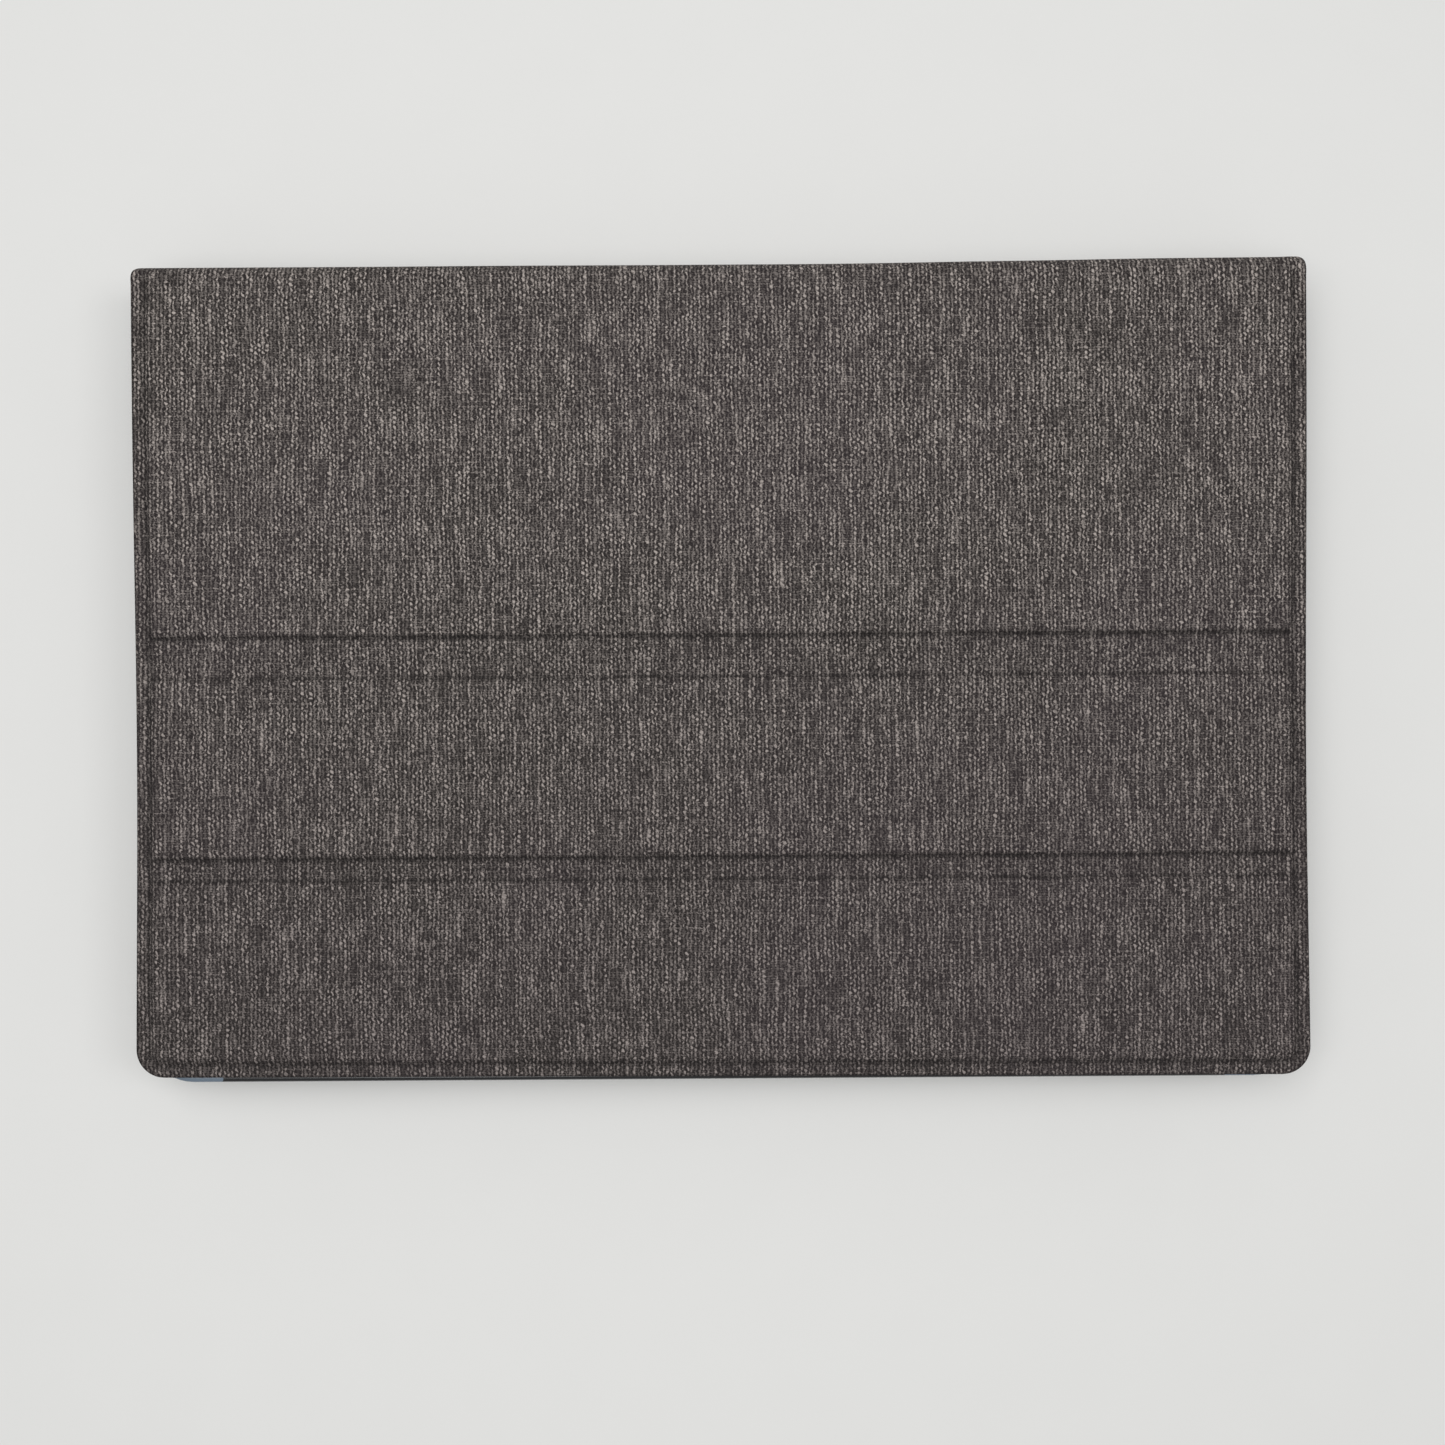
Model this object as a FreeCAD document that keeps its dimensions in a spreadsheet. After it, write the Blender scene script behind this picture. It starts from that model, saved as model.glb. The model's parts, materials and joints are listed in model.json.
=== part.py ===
import FreeCAD, Part
import math
import os
from collections import namedtuple
from types import SimpleNamespace

import Sketcher
from FreeCAD import Vector

# A folio case for a tablet, closed and lying on its front cover. A keyboard is bonded into the front
# cover, a tray for the tablet hangs from the back panel, and the lower half of the back cover folds
# outwards at two bands to make a stand. X runs along the spine, +Y points at the spine, +Z is up, and
# the origin is the middle of the underside. Lengths are millimetres, slopes are degrees.

DRIVING_SIZES = {
    # Tablet that the tray takes
    "tablet_width": 244.0,
    "tablet_depth": 162.5,
    "tablet_thickness": 9.0,
    "tablet_corner": 8.0,
    "tablet_clearance": 0.3,
    # Tray: a soft frame that grips the tablet, inside a hard shell with four corner guards
    "bumper_wall": 1.3,
    "bumper_lip": 1.6,
    "bumper_lip_thickness": 1.0,
    "shell_wall": 1.1,
    "shell_base": 1.2,
    "shell_rim_step": 1.2,
    "shell_rounding": 0.8,
    "guard_length": 17.0,
    "guard_slant": 3.0,
    "window_clearance": 0.15,
    "camera_hole_radius": 7.0,
    "camera_hole_inset": 22.0,
    "tablet_port_width": 14.0,
    "tablet_port_height": 5.0,
    "button_height": 3.2,
    "button_rise": 0.2,
    "power_button_length": 9.0,
    "volume_button_length": 22.0,
    "button_inset": 34.0,
    "button_spacing": 8.0,
    "adhesive_thickness": 0.3,
    "adhesive_margin": 6.0,
    # Folio: cloth skin and lining round a board
    "skin_thickness": 0.7,
    "board_thickness": 1.4,
    "lining_thickness": 0.5,
    "flange_width": 3.6,
    "flange_corner": 6.1,
    "board_corner": 2.8,
    "board_rounding": 0.8,
    "cover_overhang": 1.3,
    "front_overhang": 0.2,
    "flap_setback": 0.8,
    "spine_gap": 4.3,
    "roll_radius": 3.2,
    "roll_clearance": 0.3,
    "roll_wrap": 35.0,
    "back_panel_length": 79.2,
    "upper_strip_width": 8.9,
    "stand_panel_length": 38.5,
    "lower_strip_width": 4.8,
    "fold_gap": 0.15,
    "upper_fold_slope": 33.0,
    "lower_fold_slope": 28.0,
    "disc_magnet_radius": 5.0,
    "disc_magnet_thickness": 0.8,
    "disc_magnet_offset": 80.0,
    "bar_magnet_length": 18.0,
    "bar_magnet_width": 5.0,
    "bar_magnet_thickness": 0.9,
    "bar_magnet_spacing": 50.0,
    "magnet_clearance": 0.1,
    # Keyboard case
    "keyboard_front_inset": 5.0,
    "keyboard_side_inset": 5.0,
    "keyboard_spine_inset": 12.0,
    "keyboard_height": 5.4,
    "keyboard_corner": 6.0,
    "case_floor": 0.9,
    "case_wall": 1.2,
    "deck_thickness": 1.2,
    "deck_chamfer": 0.5,
    "deck_side_margin": 4.0,
    "deck_back_margin": 7.0,
    "deck_front_margin": 6.9,
    "rib_thickness": 1.0,
    "rib_end_gap": 12.0,
    # Keys
    "key_pitch": 15.6,
    "row_pitch": 16.4,
    "function_pitch": 10.6,
    "key_gap": 2.3,
    "key_rise": 1.3,
    "key_corner": 0.9,
    "key_draft": 6.0,
    "key_roof": 0.9,
    "key_skirt": 0.9,
    "key_lip": 0.9,
    "key_lip_thickness": 0.4,
    "key_clearance": 0.35,
    "stem_width": 3.2,
    "lip_clearance": 0.1,
    "backplate_thickness": 0.4,
    "membrane_thickness": 0.3,
    "dome_sheet_thickness": 0.3,
    "dome_height": 1.5,
    "dome_radius": 2.6,
    "dome_taper": 30.0,
    "dome_clearance": 0.05,
    # Touchpad
    "touchpad_width": 92.0,
    "touchpad_depth": 46.0,
    "touchpad_gap": 5.5,
    "touchpad_corner": 3.0,
    "touchpad_recess": 0.1,
    "touchpad_flange": 1.5,
    "touchpad_flange_thickness": 0.8,
    "touchpad_travel": 0.5,
    "touchpad_switch_width": 6.0,
    "touchpad_switch_height": 0.5,
    "pedestal_width": 5.0,
    # Electronics and small parts
    "board_width": 52.0,
    "board_depth": 26.0,
    "circuit_thickness": 1.0,
    "chip_width": 8.0,
    "chip_height": 1.0,
    "radio_length": 14.0,
    "radio_width": 10.0,
    "radio_height": 1.5,
    "battery_width": 56.0,
    "battery_depth": 38.0,
    "battery_thickness": 2.8,
    "battery_draft": 14.0,
    "part_spacing": 4.0,
    "port_width": 8.9,
    "port_height": 3.1,
    "port_length": 7.0,
    "port_wall": 0.35,
    "port_tongue_width": 6.0,
    "port_tongue_thickness": 0.7,
    "port_tongue_length": 4.4,
    "port_clearance": 0.1,
    "port_offset": 18.0,
    "slider_length": 5.0,
    "slider_depth": 3.0,
    "slider_nub_length": 2.4,
    "slider_nub_height": 1.4,
    "slider_nub_rise": 0.6,
    "slider_travel": 2.5,
    "slider_clearance": 0.15,
    "slider_offset": 40.0,
    "slider_housing_depth": 2.6,
    "light_radius": 0.7,
    "light_head_radius": 1.2,
    "light_head_height": 0.4,
    "light_inset": 26.0,
    "light_spacing": 6.0,
    "foot_radius": 2.6,
    "foot_rise": 1.7,
    "foot_draft": 14.0,
    "foot_side_inset": 9.0,
    "foot_edge_inset": 3.6,
    "tray_lift": 0.3,
    "screw_radius": 0.8,
    "screw_head_radius": 1.6,
    "screw_head_height": 0.5,
    "screw_clearance": 0.1,
    "screw_engagement": 2.6,
    "screw_edge_inset": 3.9,
    "screw_outer_offset": 111.0,
    "screw_back_offset": 75.0,
    "boss_radius": 2.1,
}

ROW_UNITS = 15
KEY_ROWS = 5
LIGHT_COUNT = 3
# Places of the bar magnets along the front cover, in steps of their spacing
BAR_STEPS = (-1.5, -0.5, 0.5, 1.5)
# Length of a cut that goes right through the case, in half widths of the case
THROUGH = 4
# Corner that leaves a square with eight equal sides, in half widths of the square
EIGHT_SIDES = 2 - math.sqrt(2)
# Share of a slot's half height that its round ends take: a trace of a straight side stays between them
END_SHARE = 0.99

# A run of like keys: its first unit along the row, key width in units, number of keys and their spacing
KeyRun = namedtuple("KeyRun", "node row start units count spacing")

KEY_RUNS = (
    KeyRun("function_keys", "function", 0, 1, 15, 1),
    KeyRun("number_keys", "number", 0, 1, 13, 1),
    KeyRun("backspace_key", "number", 13, 2, 1, 1),
    KeyRun("tab_key", "upper", 0, 1.5, 1, 1),
    KeyRun("upper_letter_keys", "upper", 1.5, 1, 12, 1),
    KeyRun("backslash_key", "upper", 13.5, 1.5, 1, 1),
    KeyRun("caps_lock_key", "home", 0, 1.75, 1, 1),
    KeyRun("home_letter_keys", "home", 1.75, 1, 11, 1),
    KeyRun("enter_key", "home", 12.75, 2.25, 1, 1),
    KeyRun("left_shift_key", "lower", 0, 2.25, 1, 1),
    KeyRun("lower_letter_keys", "lower", 2.25, 1, 10, 1),
    KeyRun("right_shift_key", "lower", 12.25, 2.75, 1, 1),
    KeyRun("left_modifier_keys", "bottom", 0, 1, 4, 1),
    KeyRun("space_bar", "bottom", 4, 5, 1, 1),
    KeyRun("right_modifier_keys", "bottom", 9, 1, 3, 1),
    KeyRun("arrow_keys", "bottom", 12, 1, 2, 2),
    KeyRun("arrow_keys", "bottom_upper", 13, 1, 1, 1),
    KeyRun("arrow_keys", "bottom_lower", 13, 1, 1, 1),
)

document = FreeCAD.newDocument("tablet_keyboard_case")


class Measure:
    """A size: its value now, and the sheet formula that gives it."""

    def __init__(self, value, formula):
        self.value = value
        self.formula = formula

    def __add__(self, other):
        other = measure(other)
        return Measure(self.value + other.value, f"({self.formula} + {other.formula})")

    def __sub__(self, other):
        other = measure(other)
        return Measure(self.value - other.value, f"({self.formula} - {other.formula})")

    def __mul__(self, other):
        other = measure(other)
        return Measure(self.value * other.value, f"({self.formula} * {other.formula})")

    def __truediv__(self, other):
        other = measure(other)
        return Measure(self.value / other.value, f"({self.formula} / {other.formula})")

    def __radd__(self, other):
        return measure(other) + self

    def __rsub__(self, other):
        return measure(other) - self

    def __rmul__(self, other):
        return measure(other) * self

    def __neg__(self):
        return 0 - self


def measure(size):
    """The size itself, or a plain number as a size."""
    return size if isinstance(size, Measure) else Measure(float(size), repr(float(size)))


def larger(first, second):
    return Measure(max(first.value, second.value), f"max({first.formula}; {second.formula})")


def tangent(angle):
    return Measure(math.tan(math.radians(angle.value)), f"tan({angle.formula})")


def sine(angle):
    return Measure(math.sin(math.radians(angle.value)), f"sin({angle.formula})")


def cosine(angle):
    return Measure(math.cos(math.radians(angle.value)), f"cos({angle.formula})")


def bind(item, name, size):
    """Tie a property of a document object to a size."""
    item.setExpression(name, measure(size).formula)


def make_sheet():
    """Put the driving sizes into a sheet and return them by name."""
    sheet = document.addObject("Spreadsheet::Sheet", "Sizes")
    for row, (name, value) in enumerate(DRIVING_SIZES.items(), start=1):
        sheet.set(f"A{row}", name)
        sheet.set(f"B{row}", str(value))
        sheet.setAlias(f"B{row}", name)
    document.recompute()
    sizes = {name: Measure(float(sheet.get(name)), f"Sizes.{name}") for name in DRIVING_SIZES}
    return SimpleNamespace(**sizes)


size = make_sheet()


def place_everything():
    """Levels, edges and lines that follow from the driving sizes."""
    p = SimpleNamespace()
    # Thicknesses of the folio
    p.flange_height = size.skin_thickness + size.lining_thickness
    p.panel_height = p.flange_height + size.board_thickness
    # Tray and keyboard, and the case that covers both
    p.cavity_half_width = size.tablet_width / 2 + size.tablet_clearance
    p.cavity_half_depth = size.tablet_depth / 2 + size.tablet_clearance
    p.tray_wall = size.bumper_wall + size.shell_wall
    p.tray_half_width = p.cavity_half_width + p.tray_wall
    p.tray_half_depth = p.cavity_half_depth + p.tray_wall
    p.keyboard_half_width = ROW_UNITS * size.key_pitch / 2 + size.deck_side_margin
    p.key_zone_depth = size.function_pitch + KEY_ROWS * size.row_pitch
    deck_margins = size.deck_back_margin + size.deck_front_margin
    p.keyboard_depth = deck_margins + p.key_zone_depth + size.touchpad_gap + size.touchpad_depth
    p.half_width = larger(
        p.tray_half_width + size.cover_overhang, p.keyboard_half_width + size.keyboard_side_inset
    )
    p.half_depth = (
        larger(
            size.front_overhang + 2 * p.tray_half_depth + size.spine_gap + p.panel_height,
            size.keyboard_front_inset + p.keyboard_depth + size.keyboard_spine_inset,
        )
        / 2
    )
    p.front_y = -p.half_depth
    p.spine_y = p.half_depth
    p.tray_y = p.front_y + size.front_overhang + p.tray_half_depth
    p.keyboard_front_y = p.front_y + size.keyboard_front_inset
    p.keyboard_back_y = p.keyboard_front_y + p.keyboard_depth
    p.keyboard_y = (p.keyboard_front_y + p.keyboard_back_y) / 2
    # Levels, from the table upwards
    p.front_inner_z = p.panel_height
    p.floor_z = p.front_inner_z + size.case_floor
    p.deck_z = p.front_inner_z + size.keyboard_height
    p.deck_under_z = p.deck_z - size.deck_thickness
    p.key_top_z = p.deck_z + size.key_rise
    p.rim_z = p.deck_z + size.foot_rise + size.tray_lift
    p.lip_top_z = p.rim_z + size.bumper_lip_thickness
    p.shell_rim_z = p.rim_z + size.shell_rim_step
    p.shell_base_z = p.lip_top_z + size.tablet_thickness + size.tablet_clearance
    p.tray_top_z = p.shell_base_z + size.shell_base
    p.back_inner_z = p.tray_top_z + size.adhesive_thickness
    p.case_height = p.back_inner_z + p.panel_height
    # Spine rolls and fold lines
    p.roll_y = p.spine_y - size.roll_radius
    p.low_roll_z = size.roll_radius
    p.high_roll_z = p.case_height - size.roll_radius
    p.back_line = p.spine_y - size.back_panel_length
    p.upper_line = p.back_line - size.upper_strip_width
    p.lower_line = p.upper_line - size.stand_panel_length
    p.foot_line = p.lower_line - size.lower_strip_width
    p.free_y = p.front_y + size.flap_setback
    p.stand_y = (p.upper_line + p.lower_line) / 2
    p.foot_y = (p.foot_line + p.free_y) / 2
    # Keyboard stack and key rows
    p.key_zone_back = p.keyboard_back_y - size.deck_back_margin
    p.key_zone_front = p.key_zone_back - p.key_zone_depth
    p.key_zone_half = ROW_UNITS * size.key_pitch / 2
    p.backplate_top = p.floor_z + size.backplate_thickness
    p.membrane_top = p.backplate_top + size.membrane_thickness
    p.sheet_top = p.membrane_top + size.dome_sheet_thickness
    p.dome_top = p.sheet_top + size.dome_height
    p.key_lip_top = p.deck_under_z - size.lip_clearance
    p.key_lip_bottom = p.key_lip_top - size.key_lip_thickness
    first_row = p.key_zone_back - size.function_pitch
    p.rows = {"function": (p.key_zone_back - size.function_pitch / 2, size.function_pitch)}
    for index, name in enumerate(("number", "upper", "home", "lower", "bottom")):
        p.rows[name] = (first_row - (index + 0.5) * size.row_pitch, size.row_pitch)
    bottom_y = p.rows["bottom"][0]
    p.rows["bottom_upper"] = (bottom_y + size.row_pitch / 4, size.row_pitch / 2)
    p.rows["bottom_lower"] = (bottom_y - size.row_pitch / 4, size.row_pitch / 2)
    # Touchpad and the parts beside it
    p.touchpad_front = p.keyboard_front_y + size.deck_front_margin
    p.touchpad_back = p.touchpad_front + size.touchpad_depth
    p.touchpad_y = (p.touchpad_front + p.touchpad_back) / 2
    p.touchpad_top = p.deck_z - size.touchpad_recess
    p.touchpad_flange_top = p.deck_under_z - size.lip_clearance
    p.touchpad_flange_bottom = p.touchpad_flange_top - size.touchpad_flange_thickness
    p.case_left = -p.keyboard_half_width
    p.inner_left = p.case_left + size.case_wall
    p.port_y = p.touchpad_front + size.port_offset
    p.slider_y = p.touchpad_front + size.slider_offset
    p.slider_z = (p.floor_z + p.deck_under_z) / 2
    back_screw_y = p.keyboard_back_y - size.screw_edge_inset
    front_screw_y = p.keyboard_front_y + size.screw_edge_inset
    inner_x = size.touchpad_width / 2 + size.touchpad_flange + size.part_spacing + size.boss_radius
    p.screws = [(sign * size.screw_back_offset, back_screw_y) for sign in (-1, 1)]
    p.screws += [(sign * size.screw_outer_offset, front_screw_y) for sign in (-1, 1)]
    p.screws += [(sign * inner_x, front_screw_y) for sign in (-1, 1)]
    p.magnets = [
        (sign * size.disc_magnet_offset, y) for y in (p.stand_y, p.foot_y) for sign in (-1, 1)
    ]
    return p


place = place_everything()
nodes = {}


def keep(label, item):
    """Name a finished sub-part, so that it gets a file of its own."""
    item.Label = label
    nodes[label] = item
    return item


def block(name, x_range, y_range, z_range):
    """A box between two values along each axis."""
    box = document.addObject("Part::Box", name)
    ranges = zip(("Length", "Width", "Height"), "xyz", (x_range, y_range, z_range))
    for side, axis, (low, high) in ranges:
        bind(box, side, measure(high) - low)
        bind(box, f"Placement.Base.{axis}", low)
    return box


def rod(name, x, y, z_range, radius):
    """An upright cylinder."""
    cylinder = document.addObject("Part::Cylinder", name)
    bind(cylinder, "Radius", radius)
    bind(cylinder, "Height", z_range[1] - z_range[0])
    for axis, where in zip("xyz", (x, y, z_range[0])):
        bind(cylinder, f"Placement.Base.{axis}", where)
    return cylinder


def group(name, items):
    """Separate solids that share one node."""
    compound = document.addObject("Part::Compound", name)
    compound.Links = items
    return compound


def cut(name, base, tool):
    remainder = document.addObject("Part::Cut", name)
    remainder.Base = base
    remainder.Tool = tool
    return remainder


def new_body(name):
    return document.addObject("PartDesign::Body", name)


def origin_item(body, role):
    return next(item for item in body.Origin.OriginFeatures if item.Role == role)


def sketch_on(body, role, level=0):
    """A sketch on one of the body's origin planes, moved along the plane's normal to a level."""
    sketch = body.newObject("Sketcher::SketchObject", f"{body.Name}_sketch")
    sketch.AttachmentSupport = [(origin_item(body, role), "")]
    sketch.MapMode = "FlatFace"
    bind(sketch, "AttachmentOffset.Base.z", level)
    return sketch


def hold(sketch, kind, geometry, point, distance):
    """Fix one coordinate of a sketch point, measured from the sketch's origin."""
    distance = measure(distance)
    index = sketch.addConstraint(Sketcher.Constraint(kind, -1, 1, geometry, point, distance.value))
    sketch.setExpression(f"Constraints[{index}]", distance.formula)


def outline(sketch, path):
    """Draw a closed line through a path of (x, y) corners. A third item is the centre of an arc to the next
    corner."""
    first = sketch.GeometryCount
    count = len(path)
    starts = []
    for index, corner in enumerate(path):
        following = path[(index + 1) % count]
        begin = Vector(measure(corner[0]).value, measure(corner[1]).value)
        end = Vector(measure(following[0]).value, measure(following[1]).value)
        if len(corner) == 2:
            sketch.addGeometry(Part.LineSegment(begin, end))
            starts.append(1)
            continue
        middle = Vector(measure(corner[2][0]).value, measure(corner[2][1]).value)
        anticlockwise = (begin - middle).cross(end - middle).z > 0
        arms = (begin - middle, end - middle) if anticlockwise else (end - middle, begin - middle)
        low, high = (math.atan2(arm.y, arm.x) for arm in arms)
        if high < low:
            high += 2 * math.pi
        whole = Part.Circle(middle, Vector(0, 0, 1), arms[0].Length)
        sketch.addGeometry(Part.ArcOfCircle(whole, low, high))
        starts.append(1 if anticlockwise else 2)
    for index, corner in enumerate(path):
        after = (index + 1) % count
        ends = (first + index, 3 - starts[index], first + after, starts[after])
        sketch.addConstraint(Sketcher.Constraint("Coincident", *ends))
        hold(sketch, "DistanceX", first + index, starts[index], corner[0])
        hold(sketch, "DistanceY", first + index, starts[index], corner[1])
        if len(corner) == 3:
            hold(sketch, "DistanceX", first + index, 3, corner[2][0])


def rectangle(sketch, x, y, half_width, half_depth, corner=None):
    """A rectangle about a point, with its corners rounded where a radius is given."""
    left, right = x - half_width, x + half_width
    low, high = y - half_depth, y + half_depth
    if corner is None:
        outline(sketch, [(left, low), (right, low), (right, high), (left, high)])
        return
    outline(
        sketch,
        [
            (left + corner, low),
            (right - corner, low, (right - corner, low + corner)),
            (right, low + corner),
            (right, high - corner, (right - corner, high - corner)),
            (right - corner, high),
            (left + corner, high, (left + corner, high - corner)),
            (left, high - corner),
            (left, low + corner, (left + corner, low + corner)),
        ],
    )


def cut_rectangle(sketch, x, y, half_width, half_depth, corner):
    """A rectangle about a point, with its corners cut off."""
    left, right = x - half_width, x + half_width
    low, high = y - half_depth, y + half_depth
    outline(
        sketch,
        [
            (left + corner, low),
            (right - corner, low),
            (right, low + corner),
            (right, high - corner),
            (right - corner, high),
            (left + corner, high),
            (left, high - corner),
            (left, low + corner),
        ],
    )


def circle(sketch, x, y, radius):
    x, y, radius = measure(x), measure(y), measure(radius)
    index = sketch.addGeometry(Part.Circle(Vector(x.value, y.value), Vector(0, 0, 1), radius.value))
    hold(sketch, "DistanceX", index, 3, x)
    hold(sketch, "DistanceY", index, 3, y)
    rule = sketch.addConstraint(Sketcher.Constraint("Radius", index, radius.value))
    sketch.setExpression(f"Constraints[{rule}]", radius.formula)


def pad(body, sketch, length, symmetric=False, draft=None):
    """Raise a sketch along its normal, or to both sides of it."""
    feature = body.newObject("PartDesign::Pad", f"{body.Name}_pad")
    feature.Profile = sketch
    bind(feature, "Length", length)
    if symmetric:
        feature.SideType = "Symmetric"
    if draft is not None:
        bind(feature, "TaperAngle", -draft)
    return feature


def pocket(body, sketch, length, symmetric=False, upwards=False):
    """Cut a sketch out against its normal, along it, or to both sides."""
    feature = body.newObject("PartDesign::Pocket", f"{body.Name}_pocket")
    feature.Profile = sketch
    bind(feature, "Length", length)
    if symmetric:
        feature.SideType = "Symmetric"
    feature.Reversed = upwards
    return feature


def repeat(body, features, spacing, count):
    """Repeat features of a body, or all of it, along X."""
    document.recompute()
    pattern = body.newObject("PartDesign::LinearPattern", f"{body.Name}_pattern")
    if features:
        pattern.Originals = features
    else:
        pattern.TransformMode = "Whole shape"
    pattern.Direction = (origin_item(body, "X_Axis"), [""])
    pattern.Mode = "Spacing"
    bind(pattern, "Offset", spacing)
    pattern.Occurrences = count
    body.Tip = pattern
    return pattern


def edges_of(body, chosen):
    """The body so far, and the names of its edges that the test picks."""
    document.recompute()
    last = body.Tip
    return last, [f"Edge{number}" for number, edge in enumerate(last.Shape.Edges, 1) if chosen(edge)]


def round_edges(body, radius, chosen):
    """Round the edges of the body so far that the test picks."""
    base = edges_of(body, chosen)
    feature = body.newObject("PartDesign::Fillet", f"{body.Name}_rounding")
    feature.Base = base
    bind(feature, "Radius", radius)


def chamfer_edges(body, width, chosen):
    """Chamfer the edges of the body so far that the test picks."""
    base = edges_of(body, chosen)
    feature = body.newObject("PartDesign::Chamfer", f"{body.Name}_chamfer")
    feature.Base = base
    bind(feature, "Size", width)


def near(first, second):
    return abs(first - second) < 1e-4


def is_level(edge, height):
    """True for an edge that lies in the plane at a height."""
    box = edge.BoundBox
    return near(box.ZMin, height.value) and near(box.ZMax, height.value)


def is_upright_at(edge, y):
    """True for an edge parallel to Z in the plane at a y."""
    box = edge.BoundBox
    return near(box.XLength, 0) and near(box.YMin, y.value) and near(box.YMax, y.value)


def fold_end(line, side, slope):
    """End of a panel beside a fold line: a gap, then a slope that leaves room for the fold. The panel lies
    on the given side of the line."""

    def reach(height, inset):
        return line + side * (size.fold_gap + height * tangent(slope) + measure(inset) / cosine(slope))

    return reach


def free_end(edge):
    """Free edge of a panel, which stands upright and faces away from the spine."""

    def reach(height, inset):
        return edge + inset

    return reach


def spine_end():
    """End of a panel beside the spine: the cloth runs on to the roll, while the board stops short of it."""
    board_edge = place.roll_y - size.roll_radius - size.roll_clearance

    def reach(height, inset):
        return board_edge - inset if measure(inset).value else place.roll_y

    return reach


class Panel:
    """A panel of the folio: the level of its inner face, the way its outside points, and its two ends."""

    def __init__(self, name, inner_z, outwards, low_end, high_end, is_free=False, roll=None):
        self.name = name
        self.inner_z = inner_z
        self.outwards = outwards
        self.low_end = low_end
        self.high_end = high_end
        self.is_free = is_free
        self.roll = roll

    def level(self, height):
        return self.inner_z + self.outwards * height

    def layer(self, body, low, high, half_width, inset=0, free_inset=0):
        """One layer of the panel between two heights over its inner face."""
        low_inset = free_inset if self.is_free else inset
        sketch = sketch_on(body, "YZ_Plane")
        outline(
            sketch,
            [
                (self.low_end(low, low_inset), self.level(low)),
                (self.high_end(low, inset), self.level(low)),
                (self.high_end(high, inset), self.level(high)),
                (self.low_end(high, low_inset), self.level(high)),
            ],
        )
        return pad(body, sketch, 2 * half_width, symmetric=True)

    def round_free_corners(self, body, radius, inset):
        """Round the two corners of the free edge, where the panel has one."""
        if self.is_free:
            edge = self.low_end(measure(0), inset)
            round_edges(body, radius, lambda item: is_upright_at(item, edge))

    def clear_roll(self, body):
        """Hollow the end beside the spine round the spine's roll."""
        if self.roll is not None:
            sketch = sketch_on(body, "YZ_Plane")
            circle(sketch, place.roll_y, self.roll, size.roll_radius + size.roll_clearance)
            pocket(body, sketch, THROUGH * place.half_width, symmetric=True)

    def lining(self):
        body = new_body(f"{self.name}_lining")
        self.layer(body, measure(0), size.lining_thickness, place.half_width)
        self.round_free_corners(body, size.flange_corner, measure(0))
        self.clear_roll(body)
        return keep(body.Name, body)

    def flange(self, body):
        """The pressed border: the skin lying straight on the lining."""
        self.layer(body, size.lining_thickness, place.flange_height, place.half_width)
        self.round_free_corners(body, size.flange_corner, measure(0))

    def strip_skin(self):
        """Skin of a fold strip, which has no board."""
        body = new_body(f"{self.name}_skin")
        self.flange(body)
        return keep(body.Name, body)

    def board_blank(self):
        body = new_body(f"{self.name}_board_blank")
        inset = size.skin_thickness
        free_inset = size.flange_width + inset
        half_width = place.half_width - size.flange_width - inset
        top = size.lining_thickness + size.board_thickness
        self.layer(body, size.lining_thickness, top, half_width, inset, free_inset)
        self.round_free_corners(body, size.board_corner, free_inset)
        return body

    def skin(self, blank):
        """Skin over the board: a flange, a raised field with soft edges and the hollow for the board."""
        body = new_body(f"{self.name}_skin_blank")
        field = new_body(f"{self.name}_field")
        half_width = place.half_width - size.flange_width
        self.flange(body)
        self.clear_roll(body)
        self.layer(field, size.lining_thickness, place.panel_height, half_width, 0, size.flange_width)
        self.round_free_corners(field, size.board_corner + size.skin_thickness, size.flange_width)
        self.clear_roll(field)
        outer_z = self.level(place.panel_height)
        field_end = self.low_end(place.panel_height, size.flange_width).value

        def is_rim(edge):
            box = edge.BoundBox
            along_x = near(box.YLength, 0) and not near(box.XLength, 0)
            at_free_end = self.is_free and near(box.YMin, field_end)
            return is_level(edge, outer_z) and (not along_x or at_free_end)

        round_edges(field, size.board_rounding, is_rim)
        whole = document.addObject("Part::Fuse", f"{self.name}_skin_whole")
        whole.Base = body
        whole.Tool = field
        whole.Refine = True
        return keep(f"{self.name}_skin", cut(f"{self.name}_skin", whole, blank))


def make_panel(panel, magnets=None):
    """Skin, board and lining of one panel, with pockets in the board for its magnets."""
    blank = panel.board_blank()
    panel.skin(blank)
    panel.lining()
    board = blank if magnets is None else cut(f"{panel.name}_board", blank, magnets)
    keep(f"{panel.name}_board", board)


def disc_magnets(name, places, z_range, clearance=0):
    """Flat round magnets, or with a clearance the pockets that they sit in."""
    radius = size.disc_magnet_radius + clearance
    return group(name, [rod(f"{name}_disc", x, y, z_range, radius) for x, y in places])


def bar_magnets(name, clearance=0):
    """Bar magnets along the free edge of the front cover, or the pockets that they sit in."""
    top = size.skin_thickness + size.board_thickness
    half_length = size.bar_magnet_length / 2 + clearance
    half_width = size.bar_magnet_width / 2 + clearance
    y = place.front_y + size.flange_width + size.skin_thickness + size.bar_magnet_width
    bars = []
    for step in BAR_STEPS:
        x = step * size.bar_magnet_spacing
        bars.append(
            block(
                f"{name}_bar",
                (x - half_length, x + half_length),
                (y - half_width, y + half_width),
                (top - size.bar_magnet_thickness, top),
            )
        )
    return group(name, bars)


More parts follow.
